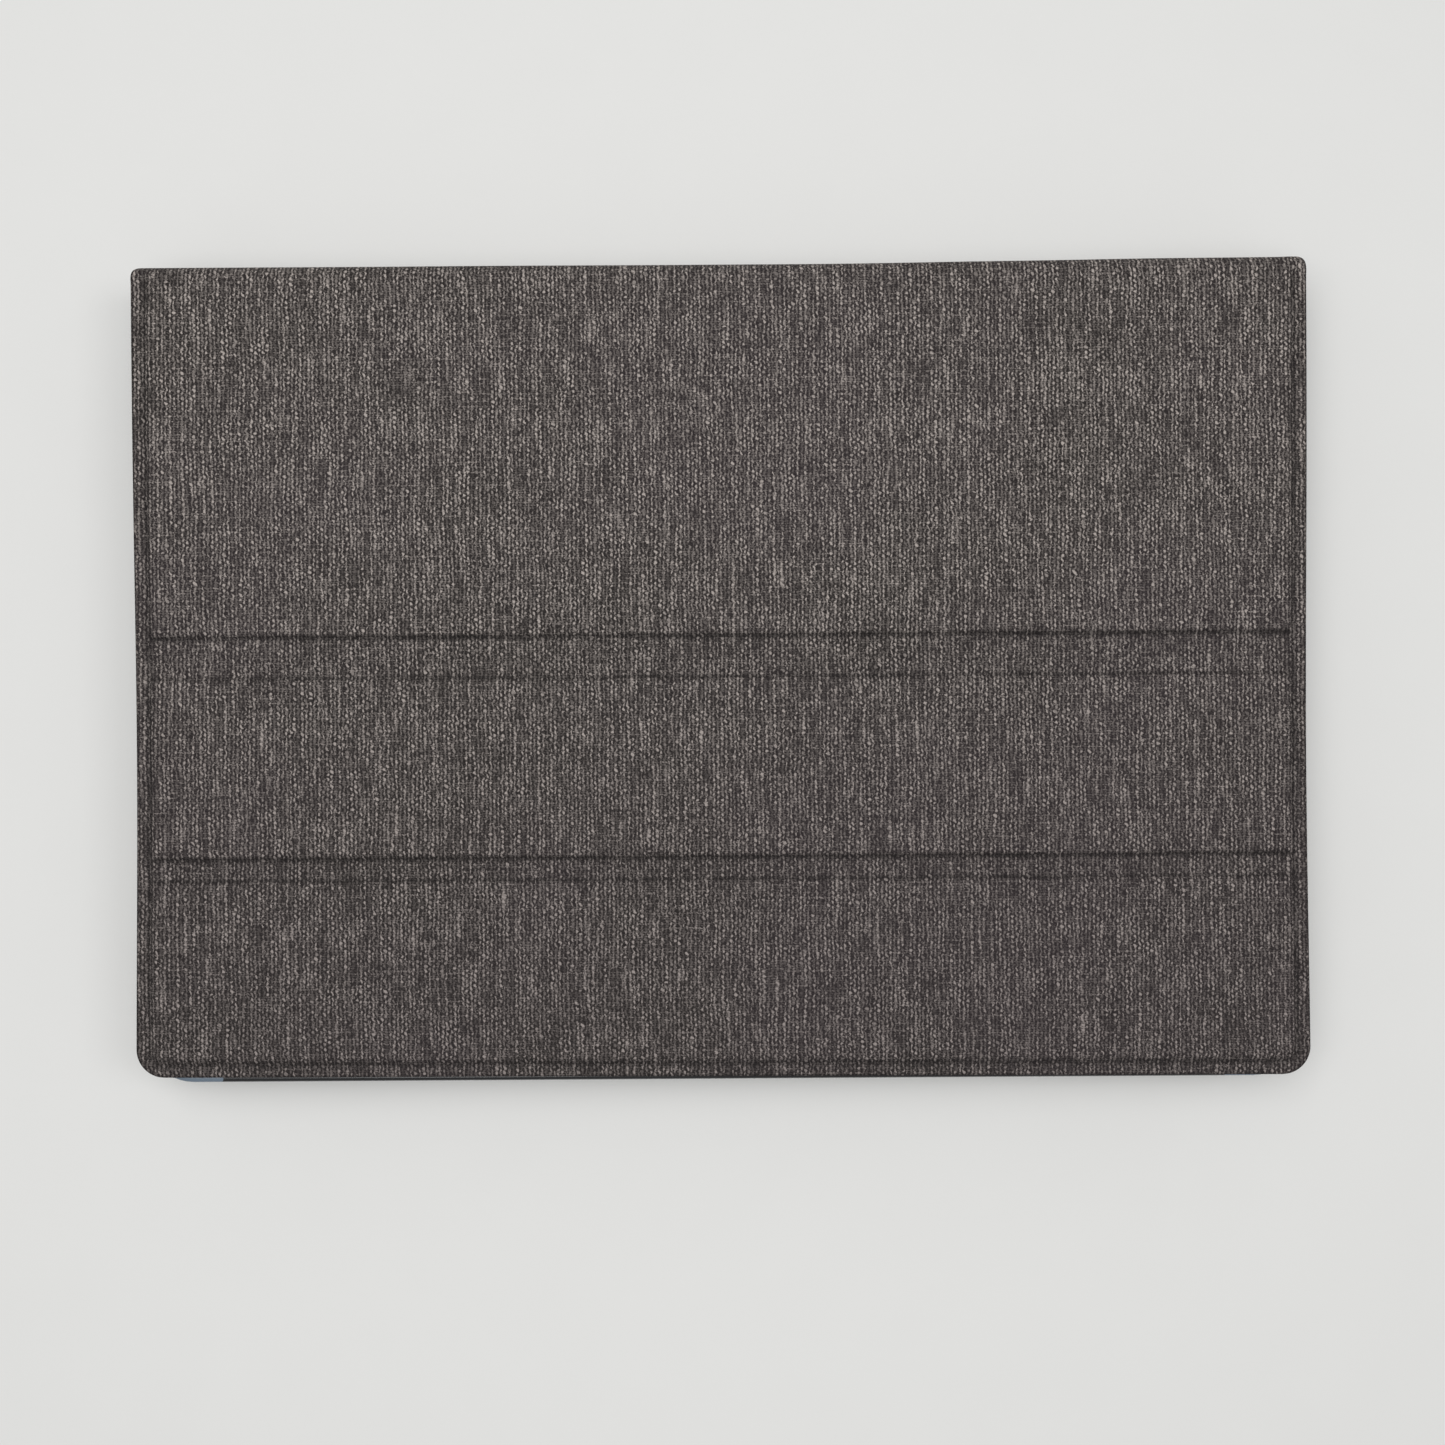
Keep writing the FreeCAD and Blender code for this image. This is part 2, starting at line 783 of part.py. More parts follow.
def make_front_cover():
    front = Panel(
        "front_cover",
        place.front_inner_z,
        -1,
        free_end(place.front_y),
        spine_end(),
        is_free=True,
        roll=place.low_roll_z,
    )
    keep("closure_magnets", bar_magnets("closure_magnets"))
    make_panel(front, bar_magnets("closure_magnet_pockets", size.magnet_clearance))


def make_back_cover():
    """Back panel, two fold strips, stand panel and foot panel."""
    inner_z = place.back_inner_z
    upper, lower = size.upper_fold_slope, size.lower_fold_slope
    back_end = fold_end(place.back_line, 1, upper)
    make_panel(Panel("back_panel", inner_z, 1, back_end, spine_end(), roll=place.high_roll_z))
    strips = (
        ("upper_strip", place.upper_line, place.back_line, upper),
        ("lower_strip", place.foot_line, place.lower_line, lower),
    )
    for name, low, high, slope in strips:
        strip = Panel(name, inner_z, 1, fold_end(low, 1, slope), fold_end(high, -1, slope))
        strip.strip_skin()
        strip.lining()
    board_z = inner_z + size.lining_thickness
    magnet_z = (board_z, board_z + size.disc_magnet_thickness)
    stand_ends = (fold_end(place.lower_line, 1, lower), fold_end(place.upper_line, -1, upper))
    foot_ends = (free_end(place.free_y), fold_end(place.foot_line, -1, lower))
    stand = Panel("stand_panel", inner_z, 1, *stand_ends)
    foot = Panel("foot_panel", inner_z, 1, *foot_ends, is_free=True)
    held = ((stand, "stand_magnets", place.magnets[:2]), (foot, "foot_magnets", place.magnets[2:]))
    for panel, magnets, spots in held:
        keep(magnets, disc_magnets(magnets, spots, magnet_z))
        make_panel(panel, disc_magnets(f"{magnets}_pockets", spots, magnet_z, size.magnet_clearance))


def make_spine():
    """Spine: a cloth strip that rolls over both long edges, a board behind it and a lining."""
    outer, inner = place.spine_y, place.spine_y - size.skin_thickness
    low, high = place.low_roll_z, place.high_roll_z
    middle_y = place.roll_y
    across, along = sine(size.roll_wrap), cosine(size.roll_wrap)
    wide, narrow = size.roll_radius, size.roll_radius - size.skin_thickness
    skin = new_body("spine_skin")
    sketch = sketch_on(skin, "YZ_Plane")
    outline(
        sketch,
        [
            (middle_y - wide * across, high + wide * along, (middle_y, high)),
            (outer, high),
            (outer, low, (middle_y, low)),
            (middle_y - wide * across, low - wide * along),
            (middle_y - narrow * across, low - narrow * along, (middle_y, low)),
            (inner, low),
            (inner, high, (middle_y, high)),
            (middle_y - narrow * across, high + narrow * along),
        ],
    )
    pad(skin, sketch, 2 * place.half_width, symmetric=True)
    keep("spine_skin", skin)
    half_board = place.half_width - size.flange_width
    board_y = inner - size.board_thickness
    board = block("spine_board", (-half_board, half_board), (board_y, inner), (low, high))
    keep("spine_board", board)
    lining_y = board_y - size.lining_thickness
    lining = block("spine_lining", (-place.half_width, place.half_width), (lining_y, board_y), (low, high))
    keep("spine_lining", lining)


def wall_window(body, role, middle, half_length, z_range, clearance):
    """Trapezium between two corner guards, seen square to a wall of the tray. The guards widen upwards."""
    low, high = z_range
    half_low = half_length - size.guard_length - clearance
    half_high = half_low - size.guard_slant
    sketch = sketch_on(body, role)
    outline(
        sketch,
        [
            (middle - half_low, low),
            (middle + half_low, low),
            (middle + half_high, high),
            (middle - half_high, high),
        ],
    )
    return sketch


def make_tray_shell():
    """Hard shell: a back plate with four corner guards, a camera hole and recesses for the magnets."""
    body = new_body("tray_shell")
    half_width, half_depth = place.tray_half_width, place.tray_half_depth
    corner = size.tablet_corner + size.tablet_clearance + place.tray_wall
    sketch = sketch_on(body, "XY_Plane", place.shell_rim_z)
    rectangle(sketch, 0, place.tray_y, half_width, half_depth, corner)
    pad(body, sketch, place.tray_top_z - place.shell_rim_z)
    round_edges(body, size.shell_rounding, lambda edge: is_level(edge, place.tray_top_z))
    sketch = sketch_on(body, "XY_Plane", place.shell_rim_z)
    wall = size.shell_wall
    rectangle(sketch, 0, place.tray_y, half_width - wall, half_depth - wall, corner - wall)
    pocket(body, sketch, place.shell_base_z - place.shell_rim_z, upwards=True)
    z_range = (place.shell_rim_z, place.shell_base_z)
    long_window = wall_window(body, "XZ_Plane", measure(0), half_width, z_range, measure(0))
    pocket(body, long_window, THROUGH * place.half_width, symmetric=True)
    short_window = wall_window(body, "YZ_Plane", place.tray_y, half_depth, z_range, measure(0))
    pocket(body, short_window, THROUGH * place.half_width, symmetric=True)
    sketch = sketch_on(body, "XY_Plane", place.tray_top_z)
    camera_x = half_width - size.camera_hole_inset
    camera_y = place.tray_y - half_depth + size.camera_hole_inset
    circle(sketch, camera_x, camera_y, size.camera_hole_radius)
    pocket(body, sketch, 2 * size.shell_base)
    sketch = sketch_on(body, "XY_Plane", place.tray_top_z)
    for x, y in place.magnets:
        circle(sketch, x, y, size.disc_magnet_radius + size.magnet_clearance)
    pocket(body, sketch, size.disc_magnet_thickness)
    keep("tray_shell", body)
    magnet_z = (place.tray_top_z - size.disc_magnet_thickness, place.tray_top_z)
    keep("tray_magnets", disc_magnets("tray_magnets", place.magnets, magnet_z))


def make_tray_bumper():
    """Soft frame inside the shell: it fills the windows between the guards, has a lip over the tablet's
    front, raised pads over the tablet's buttons and a slot for the tablet's own port."""
    body = new_body("tray_bumper")
    cavity_width, cavity_depth = place.cavity_half_width, place.cavity_half_depth
    corner = size.tablet_corner + size.tablet_clearance
    half_width, half_depth = cavity_width + size.bumper_wall, cavity_depth + size.bumper_wall
    sketch = sketch_on(body, "XY_Plane", place.rim_z)
    rectangle(sketch, 0, place.tray_y, half_width, half_depth, corner + size.bumper_wall)
    pad(body, sketch, place.shell_base_z - place.rim_z)
    gap = size.window_clearance
    filler = size.shell_wall - gap
    z_range = (place.rim_z, place.shell_base_z - gap)
    side_window = wall_window(body, "YZ_Plane", place.tray_y, place.tray_half_depth, z_range, gap)
    pad(body, side_window, 2 * (half_width + filler), symmetric=True)
    sketch = sketch_on(body, "XY_Plane", place.rim_z)
    guard = size.guard_length + size.guard_slant + gap
    rectangle(sketch, 0, place.tray_y, place.tray_half_width - guard, half_depth + filler)
    pad(body, sketch, z_range[1] - z_range[0])
    sketch = sketch_on(body, "XY_Plane", place.lip_top_z)
    rectangle(sketch, 0, place.tray_y, cavity_width, cavity_depth, corner)
    pocket(body, sketch, place.shell_base_z - place.lip_top_z, upwards=True)
    sketch = sketch_on(body, "XY_Plane", place.rim_z)
    lip = size.bumper_lip
    rectangle(sketch, 0, place.tray_y, cavity_width - lip, cavity_depth - lip, corner - lip)
    pocket(body, sketch, size.bumper_lip_thickness, upwards=True)
    middle_z = (place.lip_top_z + place.shell_base_z) / 2
    sketch = sketch_on(body, "YZ_Plane", half_width + filler)
    rectangle(sketch, place.tray_y, middle_z, size.tablet_port_width / 2, size.tablet_port_height / 2)
    pocket(body, sketch, 2 * (size.bumper_wall + filler))
    outer_y = place.tray_y - half_depth - filler
    power_x = size.button_inset - place.tray_half_width + size.power_button_length / 2
    volume_x = power_x + (size.power_button_length + size.volume_button_length) / 2 + size.button_spacing
    sketch = sketch_on(body, "XZ_Plane", -outer_y)
    for x, length in ((power_x, size.power_button_length), (volume_x, size.volume_button_length)):
        rectangle(sketch, x, middle_z, length / 2, size.button_height / 2)
    pad(body, sketch, size.button_rise)
    keep("tray_bumper", body)


def make_tray_pad():
    """Adhesive sheet between the tray and the back panel."""
    half_width = place.tray_half_width - size.adhesive_margin
    low = place.back_line + size.adhesive_margin
    high = place.tray_y + place.tray_half_depth - size.adhesive_margin
    z_range = (place.tray_top_z, place.back_inner_z)
    keep("tray_adhesive_pad", block("tray_adhesive_pad", (-half_width, half_width), (low, high), z_range))


def make_bottom_case():
    """Keyboard tray with its ribs, touchpad pedestals, screw seats, port mouth and switch slot."""
    body = new_body("keyboard_bottom_case")
    half_width, half_depth = place.keyboard_half_width, place.keyboard_depth / 2
    wall, corner = size.case_wall, size.keyboard_corner
    inner_height = place.deck_under_z - place.floor_z
    sketch = sketch_on(body, "XY_Plane", place.front_inner_z)
    rectangle(sketch, 0, place.keyboard_y, half_width, half_depth, corner)
    pad(body, sketch, place.deck_under_z - place.front_inner_z)
    sketch = sketch_on(body, "XY_Plane", place.floor_z)
    rectangle(sketch, 0, place.keyboard_y, half_width - wall, half_depth - wall, corner - wall)
    pocket(body, sketch, inner_height, upwards=True)
    sketch = sketch_on(body, "XY_Plane", place.floor_z)
    rib_y = place.key_zone_front - size.touchpad_gap / 2
    rectangle(sketch, 0, rib_y, half_width - wall - size.rib_end_gap, size.rib_thickness / 2)
    pad(body, sketch, inner_height)
    sketch = sketch_on(body, "XY_Plane", place.floor_z)
    rest_x = size.touchpad_width / 2 - size.pedestal_width
    rest_y = size.touchpad_depth / 2 - size.pedestal_width
    for x in (-rest_x, rest_x):
        for y in (place.touchpad_y - rest_y, place.touchpad_y + rest_y):
            rectangle(sketch, x, y, size.pedestal_width / 2, size.pedestal_width / 2)
    pedestal_top = place.touchpad_flange_bottom - size.touchpad_travel - size.lip_clearance
    pad(body, sketch, pedestal_top - place.floor_z)
    sketch = sketch_on(body, "XY_Plane", place.floor_z)
    anvil_top = pedestal_top - size.touchpad_switch_height
    rectangle(sketch, 0, place.touchpad_y, size.touchpad_switch_width / 2, size.touchpad_switch_width / 2)
    pad(body, sketch, anvil_top - place.floor_z)
    sketch = sketch_on(body, "XY_Plane", place.floor_z)
    for x, y in place.screws:
        circle(sketch, x, y, size.screw_radius + size.screw_clearance)
    pocket(body, sketch, 2 * size.case_floor)
    sketch = sketch_on(body, "XY_Plane", place.front_inner_z)
    for x, y in place.screws:
        circle(sketch, x, y, size.screw_head_radius + size.screw_clearance)
    pocket(body, sketch, size.screw_head_height, upwards=True)
    sketch = sketch_on(body, "YZ_Plane", place.case_left)
    mouth_half = size.port_width / 2 + size.port_clearance
    rectangle(sketch, place.port_y, place.slider_z, mouth_half, inner_height / 2)
    slot_half = (size.slider_nub_length + size.slider_travel) / 2 + size.slider_clearance
    slot_y = place.slider_y + size.slider_travel / 2
    rectangle(sketch, slot_y, place.slider_z, slot_half, size.slider_nub_height / 2 + size.slider_clearance)
    pocket(body, sketch, wall, upwards=True)
    keep("keyboard_bottom_case", body)


def key_middle(run):
    """Middle of the first key of a run, and the size of its cell."""
    y, depth = place.rows[run.row]
    x = (run.start + run.units / 2 - ROW_UNITS / 2) * size.key_pitch
    return x, y, run.units * size.key_pitch, depth


def make_deck_openings():
    """Openings for the keys and the touchpad, and bores for the lights, as solids to cut from the deck."""
    height = 3 * size.deck_thickness
    low = place.deck_under_z - size.deck_thickness
    margin = size.key_clearance - size.key_gap / 2
    openings = []
    for run in KEY_RUNS:
        x, y, cell_width, cell_depth = key_middle(run)
        body = new_body(f"{run.node}_opening")
        sketch = sketch_on(body, "XY_Plane", low)
        rectangle(sketch, x, y, cell_width / 2 + margin, cell_depth / 2 + margin)
        opening = pad(body, sketch, height)
        if run.count > 1:
            repeat(body, [opening], run.spacing * size.key_pitch, run.count)
        openings.append(body)
    body = new_body("touchpad_opening")
    sketch = sketch_on(body, "XY_Plane", low)
    gap = size.key_clearance
    half_x, half_y = size.touchpad_width / 2 + gap, size.touchpad_depth / 2 + gap
    rectangle(sketch, 0, place.touchpad_y, half_x, half_y, size.touchpad_corner + gap)
    for x, y in light_places():
        circle(sketch, x, y, size.light_radius)
    pad(body, sketch, height)
    return group("deck_openings", openings + [body])


def make_top_case():
    """Deck with an opening for every key and the touchpad, bores for the lights, and screw bosses."""
    body = new_body("keyboard_deck")
    sketch = sketch_on(body, "XY_Plane", place.deck_under_z)
    half_width, half_depth = place.keyboard_half_width, place.keyboard_depth / 2
    rectangle(sketch, 0, place.keyboard_y, half_width, half_depth, size.keyboard_corner)
    pad(body, sketch, size.deck_thickness)
    chamfer_edges(body, size.deck_chamfer, lambda edge: is_level(edge, place.deck_z))
    sketch = sketch_on(body, "XY_Plane", place.floor_z)
    for x, y in place.screws:
        circle(sketch, x, y, size.boss_radius)
        circle(sketch, x, y, size.screw_radius)
    pad(body, sketch, place.deck_under_z - place.floor_z)
    keep("keyboard_top_case", cut("keyboard_top_case", body, make_deck_openings()))


def light_places():
    """Row of status lights in the back margin of the deck."""
    y = place.keyboard_back_y - size.screw_edge_inset
    first = place.keyboard_half_width - size.light_inset
    return [(first + step * size.light_spacing, y) for step in range(LIGHT_COUNT)]


def make_key_sheets():
    """Steel backplate, membrane circuit and the rubber sheet with a dome under each key."""
    x_range = (-place.key_zone_half, place.key_zone_half)
    y_range = (place.key_zone_front, place.key_zone_back)
    keep("key_backplate", block("key_backplate", x_range, y_range, (place.floor_z, place.backplate_top)))
    keep("key_membrane", block("key_membrane", x_range, y_range, (place.backplate_top, place.membrane_top)))
    domes = [block("dome_base", x_range, y_range, (place.membrane_top, place.sheet_top))]
    for run in KEY_RUNS:
        x, y, cell_width, cell_depth = key_middle(run)
        body = new_body(f"{run.node}_domes")
        sketch = sketch_on(body, "XY_Plane", place.sheet_top)
        radius = size.dome_radius
        cut_rectangle(sketch, x, y, radius, radius, EIGHT_SIDES * radius)
        dome = pad(body, sketch, size.dome_height, draft=size.dome_taper)
        if run.count > 1:
            repeat(body, [dome], run.spacing * size.key_pitch, run.count)
        domes.append(body)
    sheet = document.addObject("Part::MultiFuse", "dome_sheet")
    sheet.Shapes = domes
    keep("dome_sheet", sheet)


def make_key_run(run):
    """A keycap, repeated along its row: a tapered cap with a lip under the deck, a hollow and a stem."""
    x, y, cell_width, cell_depth = key_middle(run)
    half_x, half_y = (cell_width - size.key_gap) / 2, (cell_depth - size.key_gap) / 2
    body = new_body(f"{run.node}_caps")
    bottom, roof = place.key_lip_bottom, place.key_top_z - size.key_roof
    sketch = sketch_on(body, "XY_Plane", bottom)
    cut_rectangle(sketch, x, y, half_x, half_y, size.key_corner)
    pad(body, sketch, place.key_top_z - bottom, draft=size.key_draft)
    sketch = sketch_on(body, "XY_Plane", bottom)
    rectangle(sketch, x, y, half_x + size.key_lip, half_y + size.key_lip)
    pad(body, sketch, size.key_lip_thickness)
    sketch = sketch_on(body, "XY_Plane", bottom)
    rectangle(sketch, x, y, half_x - size.key_skirt, half_y - size.key_skirt)
    pocket(body, sketch, roof - bottom, upwards=True)
    stem_bottom = place.dome_top + size.dome_clearance
    sketch = sketch_on(body, "XY_Plane", stem_bottom)
    rectangle(sketch, x, y, size.stem_width / 2, size.stem_width / 2)
    pad(body, sketch, roof - stem_bottom)
    if run.count > 1:
        repeat(body, [], run.spacing * size.key_pitch, run.count)
    return body


def make_keys():
    caps = {}
    for run in KEY_RUNS:
        caps.setdefault(run.node, []).append(make_key_run(run))
    for node, bodies in caps.items():
        keep(node, bodies[0] if len(bodies) == 1 else group(node, bodies))


def make_touchpad():
    """Touchpad plate held under the deck by its flange, and the click switch on its underside."""
    body = new_body("touchpad")
    half_x, half_y = size.touchpad_width / 2, size.touchpad_depth / 2
    bottom, flange = place.touchpad_flange_bottom, size.touchpad_flange
    sketch = sketch_on(body, "XY_Plane", bottom)
    rectangle(sketch, 0, place.touchpad_y, half_x, half_y, size.touchpad_corner)
    pad(body, sketch, place.touchpad_top - bottom)
    sketch = sketch_on(body, "XY_Plane", bottom)
    rectangle(sketch, 0, place.touchpad_y, half_x + flange, half_y + flange, size.touchpad_corner)
    pad(body, sketch, size.touchpad_flange_thickness)
    keep("touchpad", body)
    half = size.touchpad_switch_width / 2
    y_range = (place.touchpad_y - half, place.touchpad_y + half)
    switch = block("touchpad_switch", (-half, half), y_range, (bottom - size.touchpad_switch_height, bottom))
    keep("touchpad_switch", switch)


def make_controller_board():
    """Circuit board beside the charging port, with its main chip and radio module."""
    body = new_body("controller_board")
    left = place.case_left + size.port_length + size.port_clearance
    top = place.floor_z + size.circuit_thickness
    sketch = sketch_on(body, "XY_Plane", place.floor_z)
    rectangle(sketch, left + size.board_width / 2, place.port_y, size.board_width / 2, size.board_depth / 2)
    pad(body, sketch, size.circuit_thickness)
    sketch = sketch_on(body, "XY_Plane", top)
    chip_x = left + size.part_spacing + size.chip_width / 2
    rectangle(sketch, chip_x, place.port_y, size.chip_width / 2, size.chip_width / 2)
    pad(body, sketch, size.chip_height)
    sketch = sketch_on(body, "XY_Plane", top)
    radio_x = left + size.board_width - size.part_spacing - size.radio_length / 2
    rectangle(sketch, radio_x, place.port_y, size.radio_length / 2, size.radio_width / 2)
    pad(body, sketch, size.radio_height)
    keep("controller_board", body)


def make_battery():
    """Flat pouch cell on the floor to the right of the touchpad."""
    body = new_body("battery_pouch")
    left = size.touchpad_width / 2 + size.touchpad_flange + size.part_spacing
    low = place.touchpad_front + size.part_spacing
    sketch = sketch_on(body, "XY_Plane", place.floor_z)
    half_x, half_y = size.battery_width / 2, size.battery_depth / 2
    rectangle(sketch, left + half_x, low + half_y, half_x, half_y, size.part_spacing)
    pad(body, sketch, size.battery_thickness, draft=size.battery_draft)
    keep("battery_pouch", body)


def stadium(sketch, x, y, half_width, half_height):
    """A slot with round ends."""
    rectangle(sketch, x, y, half_width, half_height, END_SHARE * half_height)


def make_charging_port():
    """Charging socket in the left wall: a round-ended sleeve with a closed back and a contact tongue."""
    body = new_body("charging_port")
    middle_z = place.floor_z + size.port_height / 2
    half_width, half_height = size.port_width / 2, size.port_height / 2
    sketch = sketch_on(body, "YZ_Plane", place.case_left)
    stadium(sketch, place.port_y, middle_z, half_width, half_height)
    pad(body, sketch, size.port_length)
    sketch = sketch_on(body, "YZ_Plane", place.case_left)
    stadium(sketch, place.port_y, middle_z, half_width - size.port_wall, half_height - size.port_wall)
    pocket(body, sketch, size.port_length - size.port_wall, upwards=True)
    back = place.case_left + size.port_length - size.port_wall
    sketch = sketch_on(body, "YZ_Plane", back - size.port_tongue_length)
    rectangle(sketch, place.port_y, middle_z, size.port_tongue_width / 2, size.port_tongue_thickness / 2)
    pad(body, sketch, size.port_tongue_length)
    keep("charging_port", body)


def make_power_switch():
    """Slide switch: a knob that reaches through the slot in the left wall, and the housing behind it."""
    body = new_body("power_switch")
    gap = size.slider_clearance
    low, high = place.floor_z + gap, place.deck_under_z - gap
    near_wall = place.inner_left + gap
    sketch = sketch_on(body, "YZ_Plane", near_wall)
    rectangle(sketch, place.slider_y, place.slider_z, size.slider_length / 2, (high - low) / 2)
    pad(body, sketch, size.slider_depth)
    tip = place.case_left - size.slider_nub_rise
    sketch = sketch_on(body, "YZ_Plane", tip)
    rectangle(sketch, place.slider_y, place.slider_z, size.slider_nub_length / 2, size.slider_nub_height / 2)
    pad(body, sketch, near_wall - tip)
    keep("power_switch", body)
    behind = near_wall + size.slider_depth + gap
    y_range = (
        place.slider_y - size.slider_length / 2 - size.slider_housing_depth,
        place.slider_y + size.slider_length / 2 + size.slider_travel + size.slider_housing_depth,
    )
    x_range = (behind, behind + size.slider_housing_depth)
    keep("switch_housing", block("switch_housing", x_range, y_range, (place.floor_z, high)))


def make_small_parts():
    """Status lights, rubber feet on the deck and case screws."""
    lights = []
    for x, y in light_places():
        light = document.addObject("Part::Fuse", "status_light")
        low = place.deck_under_z - size.light_head_height
        light.Base = rod("light_stem", x, y, (low, place.deck_z), size.light_radius)
        light.Tool = rod("light_head", x, y, (low, place.deck_under_z), size.light_head_radius)
        lights.append(light)
    keep("status_lights", group("status_lights", lights))
    foot_x = place.keyboard_half_width - size.foot_side_inset
    front = place.keyboard_front_y + size.foot_edge_inset
    back = place.keyboard_back_y - size.foot_edge_inset
    feet = []
    for x in (-foot_x, foot_x):
        for y in (front, back):
            foot = new_body("deck_foot")
            sketch = sketch_on(foot, "XY_Plane", place.deck_z)
            circle(sketch, x, y, size.foot_radius)
            pad(foot, sketch, size.foot_rise, draft=size.foot_draft)
            feet.append(foot)
    keep("deck_bumpers", group("deck_bumpers", feet))
    screws = []
    for x, y in place.screws:
        screw = document.addObject("Part::Fuse", "case_screw")
        head_top = place.front_inner_z + size.screw_head_height
        screw.Base = rod("screw_head", x, y, (place.front_inner_z, head_top), size.screw_head_radius)
        tip = place.floor_z + size.screw_engagement
        screw.Tool = rod("screw_shank", x, y, (place.front_inner_z, tip), size.screw_radius)
        screws.append(screw)
    keep("case_screws", group("case_screws", screws))


def check_document():
    """Stop before anything is written if an object of the document failed."""
    document.recompute()
    for item in document.Objects:
        if {"Invalid", "Error"} & set(item.State):
            raise RuntimeError(f"{item.Label} failed: {item.State}")
    for label, item in nodes.items():
        if item.Shape.isNull() or not item.Shape.isValid() or not item.Shape.Solids:
            raise RuntimeError(f"{label} has no valid shape")


def write_parts():
    os.makedirs("parts", exist_ok=True)
    for label, item in nodes.items():
        item.Shape.exportStep(f"parts/{label}.step")


make_front_cover()
make_spine()
make_back_cover()
make_tray_shell()
make_tray_bumper()
make_tray_pad()
make_bottom_case()
make_top_case()
make_key_sheets()
make_keys()
make_touchpad()
make_controller_board()
make_battery()
make_charging_port()
make_power_switch()
make_small_parts()
check_document()
write_parts()
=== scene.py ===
"""Looks of a folio case for a tablet, closed and lying on its front cover, with a keyboard inside it.

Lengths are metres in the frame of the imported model: +X along the spine, +Y towards the spine, +Z up.
"""

import json
import logging
import math
from collections.abc import Callable, Iterable, Sequence
from dataclasses import dataclass
from enum import Enum
from typing import ClassVar

import bmesh
import bpy
from mathutils import Matrix, Vector, noise


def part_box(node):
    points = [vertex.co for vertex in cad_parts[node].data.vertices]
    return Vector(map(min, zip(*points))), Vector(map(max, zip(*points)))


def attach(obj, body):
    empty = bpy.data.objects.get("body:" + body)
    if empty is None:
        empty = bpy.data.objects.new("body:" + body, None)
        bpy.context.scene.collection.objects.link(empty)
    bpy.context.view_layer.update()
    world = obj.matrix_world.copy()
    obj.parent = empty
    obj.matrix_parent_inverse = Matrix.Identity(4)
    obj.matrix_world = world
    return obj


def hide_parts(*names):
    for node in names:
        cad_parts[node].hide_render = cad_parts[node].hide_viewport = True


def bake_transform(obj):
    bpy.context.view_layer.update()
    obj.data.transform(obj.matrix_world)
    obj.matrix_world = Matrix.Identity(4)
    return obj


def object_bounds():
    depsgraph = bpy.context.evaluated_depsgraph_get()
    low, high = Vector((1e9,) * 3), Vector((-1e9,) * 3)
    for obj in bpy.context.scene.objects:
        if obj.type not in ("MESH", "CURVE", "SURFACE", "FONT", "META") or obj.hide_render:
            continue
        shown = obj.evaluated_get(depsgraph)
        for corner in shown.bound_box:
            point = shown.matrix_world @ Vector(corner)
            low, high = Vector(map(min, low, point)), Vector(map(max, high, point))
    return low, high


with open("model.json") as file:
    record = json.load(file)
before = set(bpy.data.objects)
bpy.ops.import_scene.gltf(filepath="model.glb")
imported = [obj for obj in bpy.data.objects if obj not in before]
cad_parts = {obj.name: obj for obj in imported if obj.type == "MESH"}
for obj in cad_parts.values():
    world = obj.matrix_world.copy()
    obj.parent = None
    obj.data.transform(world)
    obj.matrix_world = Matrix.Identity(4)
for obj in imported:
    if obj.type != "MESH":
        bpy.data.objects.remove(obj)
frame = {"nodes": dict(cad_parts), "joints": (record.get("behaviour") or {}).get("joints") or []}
CAD_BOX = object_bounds()
LOG = logging.getLogger("case")
MM = 0.001
# Vertex layer of painted shade in the cloth's creases, groove and sunk border, partly the darker pressed
# cloth; at the rim it holds dark edge paint.
CREASE_SHADE = "crease"
WHITE = (1.0, 1.0, 1.0, 1.0)
FINE_DETAIL = 3.0
MOSTLY_UP = 0.5
SHEET_SHARP = math.radians(60)
KEY_SHARP = math.radians(40)
WELD = 0.001 * MM
ORDER_DIGITS = 4
Colour = tuple[float, float, float, float]
Pair = tuple[float, float]


def srgb(red: int, green: int, blue: int) -> Colour:
    """Give a screen colour of 0 to 255 as a linear colour.

    Args:
        red, green, blue: Levels as an image holds them.

    Returns:
        The linear colour with full alpha.
    """
    shares = (level / 255 for level in (red, green, blue))
    return (*(s / 12.92 if s <= 0.04045 else ((s + 0.055) / 1.055) ** 2.4 for s in shares), 1.0)


def toned(colour: Colour, factor: float) -> Colour:
    """Give the colour made lighter or darker by a factor."""
    return (*(min(1.0, level * factor) for level in colour[:3]), 1.0)


def smooth(value: float, low: float, high: float) -> float:
    """Give 0 below low, 1 above high and a soft step between them."""
    share = min(1.0, max(0.0, (value - low) / (high - low)))
    return share * share * (3 - 2 * share)


def hump(value: float, middle: float, width: float) -> float:
    """Give 1 at the middle, fading to nothing a few widths away."""
    return math.exp(-(((value - middle) / width) ** 2))


def joint_named(name: str) -> dict:
    """Give the frame's joint of that name."""
    return next(joint for joint in frame["joints"] if joint["name"] == name)


class Place(Enum):
    """Coordinates that a finish can read."""

    OBJECT = "Object"
    CLOTH = "UV"


